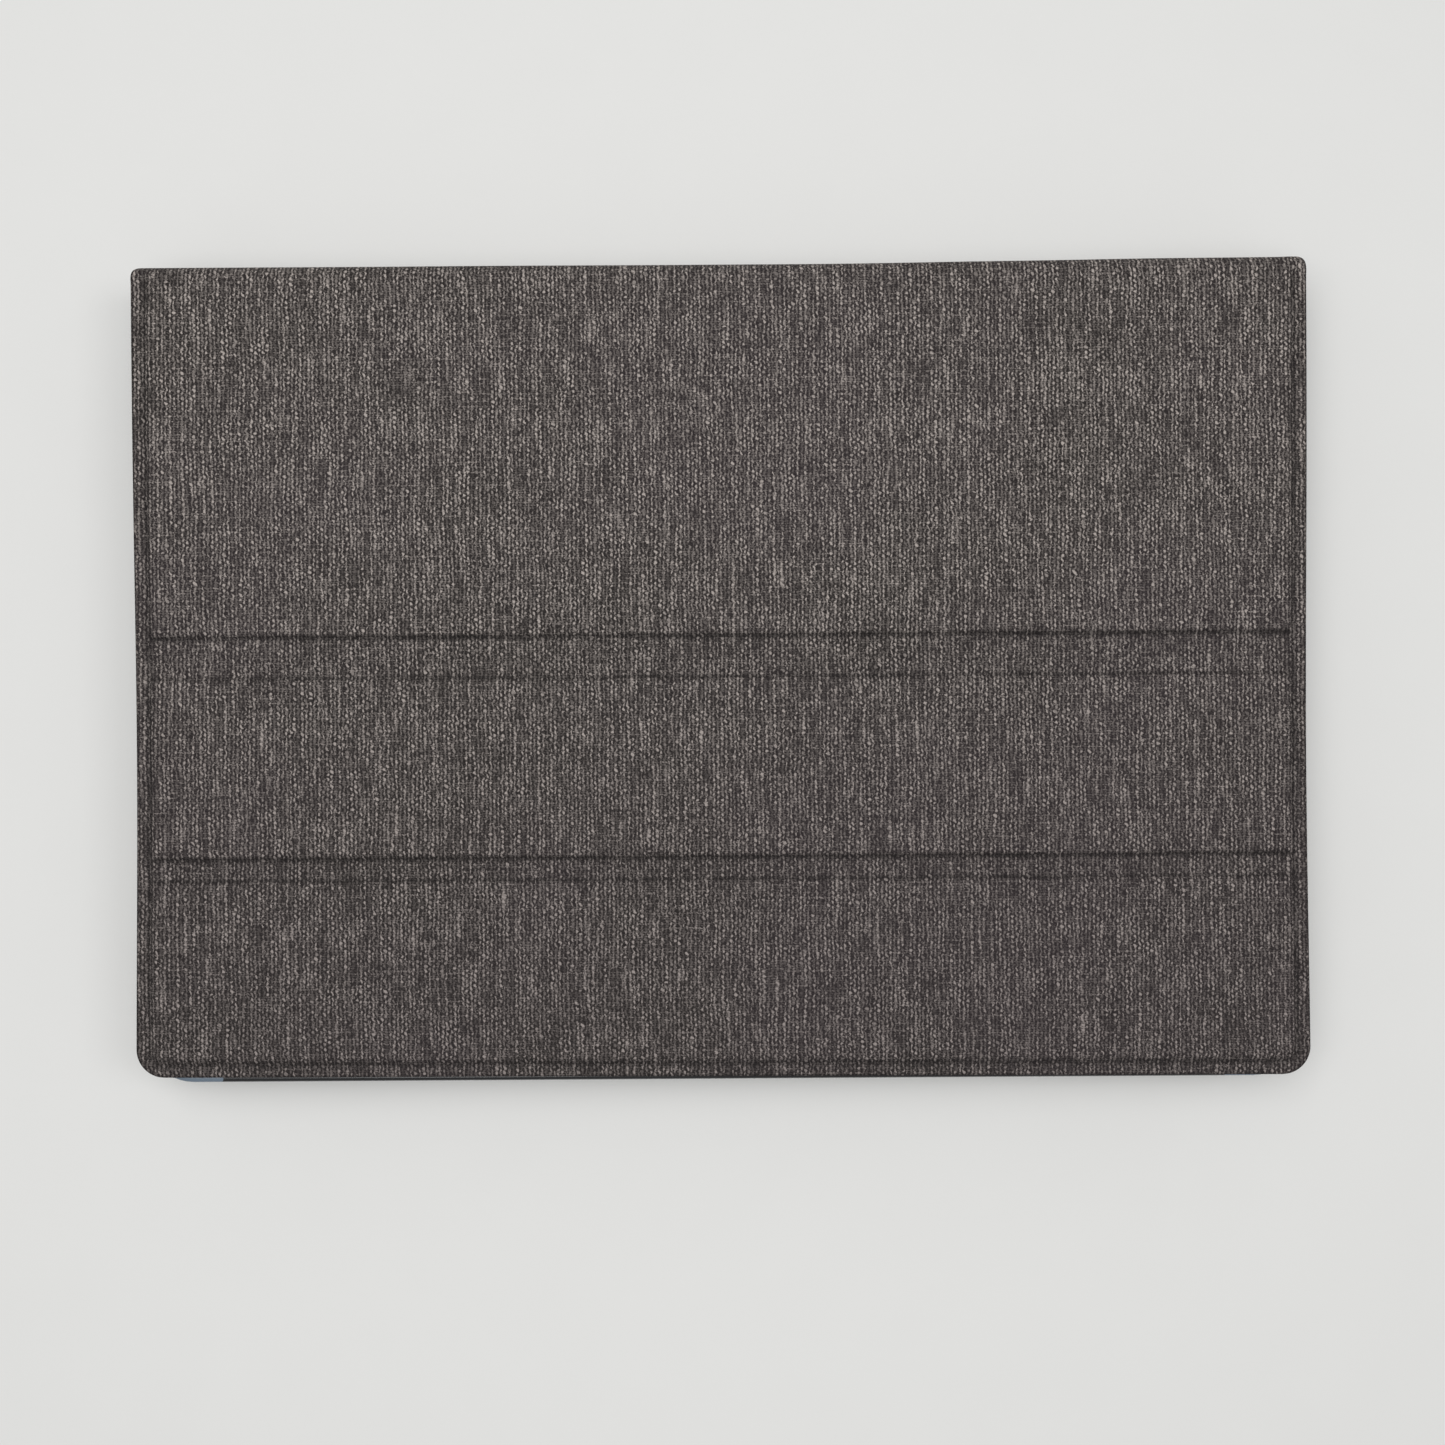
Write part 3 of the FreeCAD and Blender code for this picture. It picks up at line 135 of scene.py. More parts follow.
class Field:
    """A number that changes over a surface, so that shader maths reads as an expression."""

    def __init__(self, shader: "Shader", socket: bpy.types.NodeSocket) -> None:
        """Keep the socket and the shader that it belongs to."""
        self.shader = shader
        self.socket = socket

    def maths(self, operation: str, *values: "Field | float") -> "Field":
        """Add a Math node.

        Args:
            operation: What the node does.
            values: What goes into its sockets, in order.

        Returns:
            The node's result.
        """
        return self.shader.node("ShaderNodeMath", {"operation": operation}, dict(enumerate(values)))

    def __add__(self, other: "Field | float") -> "Field":
        """Give the sum."""
        return self.maths("ADD", self, other)

    def __radd__(self, other: float) -> "Field":
        """Give the sum with a number in front."""
        return self.maths("ADD", other, self)

    def __sub__(self, other: "Field | float") -> "Field":
        """Give the difference."""
        return self.maths("SUBTRACT", self, other)

    def __rsub__(self, other: float) -> "Field":
        """Give the difference from a number in front."""
        return self.maths("SUBTRACT", other, self)

    def __mul__(self, other: "Field | float") -> "Field":
        """Give the product."""
        return self.maths("MULTIPLY", self, other)

    def __rmul__(self, other: float) -> "Field":
        """Give the product with a number in front."""
        return self.maths("MULTIPLY", other, self)

    def floor(self) -> "Field":
        """Give the whole part."""
        return self.maths("FLOOR", self)

    def fraction(self) -> "Field":
        """Give what is left over the whole part."""
        return self.maths("FRACT", self)

    def size(self) -> "Field":
        """Give the value without its sign."""
        return self.maths("ABSOLUTE", self)

    def larger(self, other: "Field | float") -> "Field":
        """Give the larger of the two."""
        return self.maths("MAXIMUM", self, other)

    def step(self, low: float, high: float) -> "Field":
        """Give a soft step from 0 to 1.

        Args:
            low: Value up to which the step is 0.
            high: Value from which it is 1.

        Returns:
            The step.
        """
        settings = {"interpolation_type": "SMOOTHSTEP"}
        sockets = {"Value": self, "From Min": low, "From Max": high}
        return self.shader.node("ShaderNodeMapRange", settings, sockets)


@dataclass(frozen=True)
class Ramp:
    """A value that starts from a base and grows with another one."""

    base: float
    gain: float

    def of(self, value: Field | float) -> Field | float:
        """Give the value that belongs to the other one."""
        return self.base + self.gain * value


class Shader:
    """Node tree of one material."""

    def __init__(self, name: str) -> None:
        """Start a material whose surface is one principled shader.

        Args:
            name: Name of the material.
        """
        self.material = bpy.data.materials.new(name)
        self.material.use_nodes = True
        self.tree = self.material.node_tree

    def join(self, value: "Field | float | Sequence[float]", socket: bpy.types.NodeSocket) -> None:
        """Link a field to a socket, or set the socket to a plain value.

        Args:
            value: What goes in.
            socket: Input of a node.
        """
        if isinstance(value, Field):
            self.tree.links.new(value.socket, socket)
        else:
            socket.default_value = value

    def node(self, kind: str, settings: dict, sockets: dict, output: int | str = 0) -> Field:
        """Add a node.

        Args:
            kind: Type of the node.
            settings: Its properties, set before its sockets.
            sockets: Values or fields for its inputs, by name or number.
            output: Name or number of the result.

        Returns:
            The result as a field.
        """
        made = self.tree.nodes.new(kind)
        for key, value in settings.items():
            setattr(made, key, value)
        for key, value in sockets.items():
            self.join(value, made.inputs[key])
        return Field(self, made.outputs[output])

    def surface(self, sockets: dict) -> None:
        """Set the sockets of the principled shader."""
        for key, value in sockets.items():
            self.join(value, self.tree.nodes["Principled BSDF"].inputs[key])

    def place(self, kind: Place) -> Field:
        """Give the coordinates of the surface."""
        return self.node("ShaderNodeTexCoord", {}, {}, kind.value)

    def split(self, vector: Field) -> list[Field]:
        """Give the three parts of a vector."""
        first = self.node("ShaderNodeSeparateXYZ", {}, {0: vector})
        return [Field(self, socket) for socket in first.socket.node.outputs]

    def combine(self, x: Field, y: Field) -> Field:
        """Give a flat vector from its two parts."""
        return self.node("ShaderNodeCombineXYZ", {}, {0: x, 1: y})

    def noise(self, vector: Field, scale: float, detail: float = 2.0) -> Field:
        """Give soft noise from 0 to 1."""
        return self.node("ShaderNodeTexNoise", {}, {"Vector": vector, "Scale": scale, "Detail": detail})

    def speckle(self, vector: Field) -> Field:
        """Give a number from 0 to 1 for each point that shares the vector."""
        return self.node("ShaderNodeTexWhiteNoise", {"noise_dimensions": "2D"}, {"Vector": vector})

    def mix(self, factor: Field, first: Field | Colour, second: Field | Colour) -> Field:
        """Mix two colours.

        Args:
            factor: Share of the second colour.
            first: Colour at a factor of 0.
            second: Colour at a factor of 1.

        Returns:
            The mixed colour.
        """
        settings = {"data_type": "RGBA"}
        return self.node("ShaderNodeMix", settings, {0: factor, 6: first, 7: second}, 2)

    def bump(self, height: Field, depth: float) -> Field:
        """Give a normal from a height of 0 to 1 and the depth that it stands for."""
        return self.node("ShaderNodeBump", {}, {"Distance": depth, "Height": height}, "Normal")


@dataclass(frozen=True)
class Finish:
    """A finish, whose material is made once."""

    name: str

    def material(self) -> bpy.types.Material:
        """Give the material, and make it the first time.

        Returns:
            The material of this name.
        """
        known = bpy.data.materials.get(self.name)
        if known is None:
            shader = Shader(self.name)
            self.paint(shader)
            known = shader.material
        return known

    def paint(self, shader: Shader) -> None:
        """Build the nodes of the material."""
        raise NotImplementedError


@dataclass(frozen=True)
class LinenCloth(Finish):
    """Coated cloth with a linen look: dark ground, pale uneven threads, and painted shade in its creases.

    Rates are waves per metre of cloth, or per thread where two are given, across and along. A span holds
    the two values between which a soft step rises.
    """

    ground: Colour = srgb(34, 30, 29)
    thread: Colour = srgb(182, 173, 166)
    shade: Colour = srgb(40, 34, 36)
    # Painted shade: the colour that the crease layer darkens the cloth towards.
    pit: Colour = srgb(20, 17, 17)
    # Thread colour in random blotches and in painted shade that darkens the cloth towards the free edge, as
    # if the light fell off there, between the two lengths below.
    dulled: Colour = srgb(134, 125, 123)
    fresh_from: float = 230 * MM
    worn_from: float = 380 * MM
    warp_pitch: float = 0.87 * MM
    weft_pitch: float = 0.54 * MM
    sway: float = 1.1
    sway_rate: float = 70.0
    waver: float = 1.55
    waver_rate: float = 900.0
    warp_rise: Ramp = Ramp(0.62, 0.38)
    weft_rise: Ramp = Ramp(0.92, -0.42)
    top_span: Pair = (-0.12, 0.12)
    slub_rates: Pair = (0.83, 0.05)
    slub_span: Pair = (0.28, 0.76)
    cross_rates: Pair = (0.14, 0.83)
    cross_span: Pair = (0.30, 0.78)
    yarns_per_warp: int = 2
    yarn_rates: Pair = (1.7, 0.05)
    yarn_span: Pair = (0.60, 0.68)
    yarn_light: float = 0.42
    yarn_raise: Ramp = Ramp(0.3, 0.7)
    flecks_per_warp: int = 3
    fuzz_rate: float = 2400.0
    fuzz_rise: float = 0.5
    # Painted shade in the gaps between threads: below this span of height the threads darken.
    raised_span: Pair = (0.46, 1.06)
    warp_slub: Ramp = Ramp(0.22, 0.86)
    warp_fleck: Ramp = Ramp(0.22, 1.26)
    weft_slub: Ramp = Ramp(0.06, 0.44)
    weft_fleck: Ramp = Ramp(0.20, 1.30)
    thread_light: float = 1.18
    cloud_rate: float = 19.0
    cloud_span: Pair = (0.35, 0.7)
    roughness: Ramp = Ramp(0.78, 0.2)
    relief: float = 0.14 * MM
    relief_slub: Ramp = Ramp(0.6, 0.5)
    relief_fuzz: float = 0.2

    @staticmethod
    def streaks(shader: Shader, across: Field, along: Field, rates: Pair) -> Field:
        """Give noise that is drawn out along the threads."""
        return shader.noise(shader.combine(rates[0] * across, rates[1] * along), 1.0)

    def paint(self, shader: Shader) -> None:
        """Weave the threads along the cloth's own two directions.

        Args:
            shader: Where the nodes are added.
        """
        flat = shader.place(Place.CLOTH)
        width, length, _ = shader.split(flat)
        wander = self.sway * shader.noise(flat, self.sway_rate)
        waver = self.waver * shader.noise(flat, self.waver_rate)
        across = width * (1 / self.warp_pitch) + wander + waver
        along = length * (1 / self.weft_pitch) - wander + waver
        warp, weft = across.floor(), along.floor()
        warp_round = 1 - (2 * across.fraction() - 1).size()
        weft_round = 1 - (2 * along.fraction() - 1).size()
        over = 2 * (0.5 * (warp + weft)).fraction()
        warp_height = warp_round * self.warp_rise.of(over)
        weft_height = weft_round * self.weft_rise.of(over)
        on_top = (warp_height - weft_height).step(*self.top_span)
        height = warp_height.larger(weft_height)
        yarn = (self.yarns_per_warp * across).floor()
        slubs = self.streaks(shader, warp, along, self.slub_rates).step(*self.slub_span)
        cross_slubs = self.streaks(shader, across, weft, self.cross_rates).step(*self.cross_span)
        yarns = self.streaks(shader, yarn, along, self.yarn_rates).step(*self.yarn_span)
        flecks = shader.speckle(shader.combine((self.flecks_per_warp * across).floor(), weft))
        fuzz = shader.noise(flat, self.fuzz_rate)
        # Painted shade between threads: thread and yarn light fade where the threads dip into the gaps and
        # the dark ground shows.
        raised = (height + self.fuzz_rise * fuzz).step(*self.raised_span)
        warp_light = on_top * self.warp_slub.of(slubs) * self.warp_fleck.of(flecks)
        weft_light = (1 - on_top) * self.weft_slub.of(cross_slubs) * self.weft_fleck.of(flecks)
        yarn_light = self.yarn_light * yarns * self.yarn_raise.of(raised)
        light = self.thread_light * (warp_light + weft_light) * raised + yarn_light
        cloud = shader.noise(shader.place(Place.OBJECT), self.cloud_rate, FINE_DETAIL)
        ground = shader.mix(cloud.step(*self.cloud_span), self.ground, self.shade)
        # Half random blotches, half painted shade that darkens the threads towards the free edge, standing in
        # for light that falls off there.
        blotch_and_falloff_shade = 0.5 * cloud + 0.5 * length.step(self.fresh_from, self.worn_from)
        pale = shader.mix(blotch_and_falloff_shade, self.thread, self.dulled)
        # Painted shade: the crease layer pulls the cloth towards the crease shade colour in fold lines,
        # groove and sunk border, partly the darker pressed cloth.
        crease = shader.node("ShaderNodeAttribute", {"attribute_name": CREASE_SHADE}, {}, "Fac")
        relief = height * self.relief_slub.of(slubs) + self.relief_fuzz * fuzz
        shader.surface(
            {
                "Base Color": shader.mix(crease, shader.mix(light, ground, pale), self.pit),
                "Roughness": self.roughness.of(fuzz),
                "Specular IOR Level": 0.25,
                "Normal": shader.bump(relief, self.relief),
            }
        )


@dataclass(frozen=True)
class Suede(Finish):
    """Brushed microfibre with a short nap."""

    colour: Colour = srgb(50, 48, 50)
    nap: float = 0.22 * MM
    nap_depth: float = 0.08 * MM
    nap_span: Pair = (0.35, 0.7)
    nap_shade: float = 0.55
    brushed_rate: float = 45.0
    brushed_tones: Pair = (0.75, 1.3)
    roughness: Ramp = Ramp(0.86, 0.14)

    def paint(self, shader: Shader) -> None:
        """Mix brushed patches with the fine nap.

        Args:
            shader: Where the nodes are added.
        """
        where = shader.place(Place.OBJECT)
        nap = shader.noise(where, 1 / self.nap, FINE_DETAIL)
        brushed = shader.noise(where, self.brushed_rate, FINE_DETAIL)
        tone = shader.mix(brushed, *(toned(self.colour, factor) for factor in self.brushed_tones))
        shader.surface(
            {
                "Base Color": shader.mix(nap.step(*self.nap_span), toned(self.colour, self.nap_shade), tone),
                "Roughness": self.roughness.of(nap),
                "Specular IOR Level": 0.2,
                "Sheen Weight": 0.35,
                "Sheen Roughness": 0.4,
                "Normal": shader.bump(nap, self.nap_depth),
            }
        )


@dataclass(frozen=True)
class Solid(Finish):
    """Moulded plastic, rubber, board or metal, with its grain and slight unevenness."""

    colour: Colour = srgb(40, 40, 42)
    roughness: float = 0.5
    grain: float = 0.3 * MM
    depth: float = 0.01 * MM
    metallic: float = 0.0
    coat: float = 0.0
    unevenness: float = 0.12
    broad_rate: float = 60.0
    grain_gloss: float = 0.15
    broad_gloss: float = 0.1

    def tone(self, shader: Shader, where: Field, broad: Field) -> Field:
        """Give the colour with its broad unevenness."""
        low, high = 1 - self.unevenness, 1 + self.unevenness
        return shader.mix(broad, toned(self.colour, low), toned(self.colour, high))

    def paint(self, shader: Shader) -> None:
        """Mix a broad unevenness with the fine grain.

        Args:
            shader: Where the nodes are added.
        """
        where = shader.place(Place.OBJECT)
        grain = shader.noise(where, 1 / self.grain, FINE_DETAIL)
        broad = shader.noise(where, self.broad_rate)
        gloss = self.roughness + self.grain_gloss * (grain - 0.5) + self.broad_gloss * (broad - 0.5)
        shader.surface(
            {
                "Base Color": self.tone(shader, where, broad),
                "Roughness": gloss,
                "Metallic": self.metallic,
                "Coat Weight": self.coat,
                "Coat Roughness": 0.12,
                "Normal": shader.bump(grain, self.depth),
            }
        )


@dataclass(frozen=True, kw_only=True)
class GuardedShell(Solid):
    """Tray plastic: coloured corner guards, with black painted on the walls between them as painted shade."""

    half_width: float
    half_depth: float
    centre_y: float
    top_z: float
    guard: float
    # Painted shade: black on the steep walls between the guards, which look dark from the shade on them.
    skin: Colour = srgb(22, 22, 24)
    skin_width: float = 1.6 * MM
    blur: float = 0.15 * MM
    slant: float = 0.9

    def tone(self, shader: Shader, where: Field, broad: Field) -> Field:
        """Give black between the guards along the walls as painted shade, and the guards' colour elsewhere.

        Args:
            shader: Where the nodes are added.
            where: Place on the object.
            broad: Broad unevenness, from 0 to 1.

        Returns:
            The colour.
        """
        x, y, z = shader.split(where)
        lean = self.slant * (z - self.top_z)
        from_side = self.half_width - x.size()
        from_end = self.half_depth - (y - self.centre_y).size()
        # Painted shade: black on the walls between the guards, within the width below of the outer face.
        shaded_walls = []
        for along, inwards in ((from_side, from_end), (from_end, from_side)):
            between = (along - self.guard - lean).step(0, self.blur)
            shaded_walls.append(between * (self.skin_width - inwards).step(0, self.blur))
        return shader.mix(shaded_walls[0].larger(shaded_walls[1]), super().tone(shader, where, broad), self.skin)


CLOTH = LinenCloth("linen_cloth")
CLOTH_BACK = Solid("cloth_backing", srgb(64, 58, 54), 0.9, 0.4 * MM, 0.05 * MM)
CUT_EDGE = Solid("cloth_cut_edge", srgb(36, 32, 31), 0.85, 0.25 * MM, 0.06 * MM)
LINING = Suede("lining_suede")
COVER_BOARD = Solid("grey_board", srgb(128, 120, 108), 0.9, 0.5 * MM, 0.06 * MM)
MAGNET = Solid("nickel_plating", srgb(196, 196, 200), 0.28, 0.5 * MM, 0.004 * MM, metallic=1.0)
FOAM_TAPE = Solid("foam_tape", srgb(214, 212, 204), 0.9, 0.4 * MM, 0.05 * MM)
BUMPER = Solid("black_soft_frame", srgb(25, 25, 27), 0.62, 0.2 * MM, 0.02 * MM)
DECK = Solid("grained_black_plastic", srgb(40, 40, 43), 0.55, 0.22 * MM, 0.03 * MM)
KEYCAP = Solid("keycap_plastic", srgb(29, 29, 31), 0.48, 0.16 * MM, 0.012 * MM)
LEGEND = Solid("key_legend_ink", srgb(206, 207, 210), 0.6, 0.2 * MM, 0.004 * MM, unevenness=0.05)
TOUCH_FILM = Solid("touch_film", srgb(35, 35, 38), 0.34, 0.12 * MM, 0.006 * MM)
STEEL = Solid("stamped_steel", srgb(186, 186, 190), 0.32, 0.3 * MM, 0.006 * MM, metallic=1.0)
CIRCUIT = Solid("green_circuit_mask", srgb(22, 84, 52), 0.4, 0.4 * MM, 0.01 * MM, coat=0.3)
FILM = Solid("membrane_film", srgb(176, 182, 186), 0.3, 0.4 * MM, 0.006 * MM)
DOME = Solid("silicone_sheet", srgb(206, 206, 200), 0.5, 0.3 * MM, 0.01 * MM)
FOIL = Solid("battery_foil", srgb(190, 190, 194), 0.4, 0.6 * MM, 0.03 * MM, metallic=0.9)
LIGHT_PIPE = Solid("light_pipe", srgb(222, 228, 222), 0.15, 0.3 * MM, 0.004 * MM)
FOOT = Solid("rubber_foot", srgb(32, 32, 33), 0.75, 0.2 * MM, 0.02 * MM)
TABLE = Solid("pale_table", srgb(226, 226, 224), 0.7, 1.2 * MM, 0.01 * MM, unevenness=0.012)


def piece_from(tool: bmesh.types.BMesh, name: str, finishes: Sequence[Finish]) -> bpy.types.Object:
    """Turn a bmesh into a piece at the origin.

    Args:
        tool: The shape, which is used up.
        name: Name of the piece.
        finishes: Its finishes, in the order of the faces' material numbers.

    Returns:
        The new object.
    """
    mesh = bpy.data.meshes.new(name)
    tool.to_mesh(mesh)
    tool.free()
    for finish in finishes:
        mesh.materials.append(finish.material())
    mesh.shade_smooth()
    piece = bpy.data.objects.new(name, mesh)
    bpy.context.scene.collection.objects.link(piece)
    return piece


def dress(finish: Finish, *nodes: str) -> None:
    """Give CAD nodes a finish in place of their plain material.

    Args:
        finish: The finish.
        nodes: Names of the nodes.
    """
    for node in nodes:
        mesh = frame["nodes"][node].data
        mesh.materials.clear()
        mesh.materials.append(finish.material())


def solid_boxes(node: str) -> list[tuple[Vector, Vector]]:
    """Find the boxes of a CAD node's separate solids.

    Args:
        node: Name of the node.

    Returns:
        Lowest and highest corner of each solid, from left to right and then from front to back.
    """
    tool = bmesh.new()
    tool.from_mesh(frame["nodes"][node].data)
    bmesh.ops.remove_doubles(tool, verts=tool.verts, dist=WELD)
    waiting = set(tool.verts)
    boxes = []
    while waiting:
        reached = [waiting.pop()]
        corners = []
        while reached:
            vert = reached.pop()
            corners.append(vert.co.copy())
            fresh = {edge.other_vert(vert) for edge in vert.link_edges} & waiting
            waiting -= fresh
            reached.extend(fresh)
        low = Vector(map(min, zip(*corners)))
        high = Vector(map(max, zip(*corners)))
        boxes.append((low, high))
    tool.free()
    return sorted(boxes, key=lambda box: [round(value, ORDER_DIGITS) for value in box[0].xy])


@dataclass(frozen=True)
class Section:
    """Line of the folio's wall in the YZ plane: along the front cover, up the spine and back over the top."""

    start_y: float
    turn_y: float
    low_z: float
    high_z: float
    end_y: float
    radius: float

    @property
    def runs(self) -> tuple[float, float, float, float, float]:
        """Measure the line's five runs.

        Returns:
            The lengths of front cover, lower roll, spine, upper roll and back cover.
        """
        corner = self.radius * math.pi / 2
        flat_y = self.turn_y - self.radius
        return (
            flat_y - self.start_y,
            corner,
            self.high_z - self.low_z - 2 * self.radius,
            corner,
            flat_y - self.end_y,
        )

    @property
    def length(self) -> float:
        """Give the length of the whole line."""
        return sum(self.runs)

    def over_top(self, y: float) -> float:
        """Give the length along the line at which the back cover reaches a y."""
        return sum(self.runs[:4]) + self.turn_y - self.radius - y

    def turned(self, z: float, angle: float) -> tuple[Vector, Vector]:
        """Give the point and normal of a roll about a height, at an angle."""
        out = Vector((0, math.cos(angle), math.sin(angle)))
        return Vector((0, self.turn_y - self.radius, z)) + self.radius * out, out

    def at(self, length: float) -> tuple[Vector, Vector]:
        """Follow the line.

        Args:
            length: How far along it.

        Returns:
            The point there and the normal that points out of the case.
        """
        front, corner, spine, _, _ = self.runs
        if length <= front:
            return Vector((0, self.start_y + length, self.low_z)), Vector((0, 0, -1))
        length -= front
        if length <= corner:
            return self.turned(self.low_z + self.radius, length / self.radius - math.pi / 2)
        length -= corner
        if length <= spine:
            return Vector((0, self.turn_y, self.low_z + self.radius + length)), Vector((0, 1, 0))
        length -= spine
        if length <= corner:
            return self.turned(self.high_z - self.radius, length / self.radius)
        return Vector((0, self.turn_y - self.radius + corner - length, self.high_z)), Vector((0, 0, 1))


@dataclass(frozen=True)
class Zone:
    """A stretch in which the rows of a sheet lie close together."""

    low: float
    high: float
    step: float


def stations(start: float, end: float, coarse: float, zones: Iterable[Zone]) -> list[float]:
    """Set out the rows of a sheet.

    Args:
        start, end: First and last row.
        coarse: Distance between rows outside the zones.
        zones: Stretches with rows closer together.

    Returns:
        The rows in order.
    """
    least = 0.05 * MM
    rows = [start]
    while rows[-1] < end - least:
        here = rows[-1]
        inside = [zone.step for zone in zones if zone.low <= here + least < zone.high]
        ahead = [zone.low - here for zone in zones if zone.low > here + least]
        rows.append(min(here + min(inside or [coarse, *ahead]), end))
    if len(rows) > 2 and rows[-1] - rows[-2] < least:
        del rows[-2]
    return rows


class Bend(Enum):
    """Joints at which the cloth bends, in their order along it from the front cover."""

    LOWER_ROLL = "spine_lower_hinge"
    UPPER_ROLL = "spine_upper_hinge"
    STAND = "stand_fold"
    STAND_SECOND = "stand_fold_second"
    FOOT = "foot_fold"
    FOOT_SECOND = "foot_fold_second"


@dataclass(frozen=True)
class FoldBand:
    """A band without a board, where the back cover folds along an upper and a lower line."""

    upper: float
    lower: float
    drop: float
    crease: float = 0.30 * MM
    lower_share: float = 0.45
    stray: float = 0.12 * MM
    stray_run: float = 22 * MM
    upper_slope: Pair = (-0.55 * MM, 0.65 * MM)
    lower_slope: Pair = (-1.0 * MM, 1.7 * MM)
    upper_shift: float = 0.25 * MM
    upper_width: float = 0.62 * MM
    lower_width: float = 0.42 * MM
    fading: Ramp = Ramp(0.8, 0.4)
    fading_run: float = 14 * MM
    # Painted shade, partly the darker pressed cloth: the upper line darkest because its step faces away from
    # the light, the lower line fainter, the recessed band slightly.
    upper_dark: float = 0.68
    lower_dark: float = 0.58
    inside_dark: float = 0.10

    def sink(self, x: float, y: float) -> tuple[float, float]:
        """Find how the cloth sinks into the band.

        Args:
            x, y: Place on the back cover.

        Returns:
            How deep it lies, and how much painted shade its crease lines and recess get there.
        """
        stray = self.stray * noise.noise(Vector((x / self.stray_run, self.upper / MM, 0)))
        upper, lower = self.upper + stray, self.lower + stray
        inside = smooth(upper - y, *self.upper_slope) * (1 - smooth(lower - y, *self.lower_slope))
        upper_line = hump(y, upper - self.upper_shift, self.upper_width)
        lower_line = hump(y, lower, self.lower_width)
        fading = self.fading.of(noise.noise(Vector((x / self.fading_run, self.lower / MM, 1))))
        depth = self.drop * inside + self.crease * (upper_line + self.lower_share * lower_line)
        # Painted shade on the crease lines and in the recessed band.
        dark = self.upper_dark * upper_line + self.lower_dark * lower_line + self.inside_dark * inside
        return depth, fading * dark


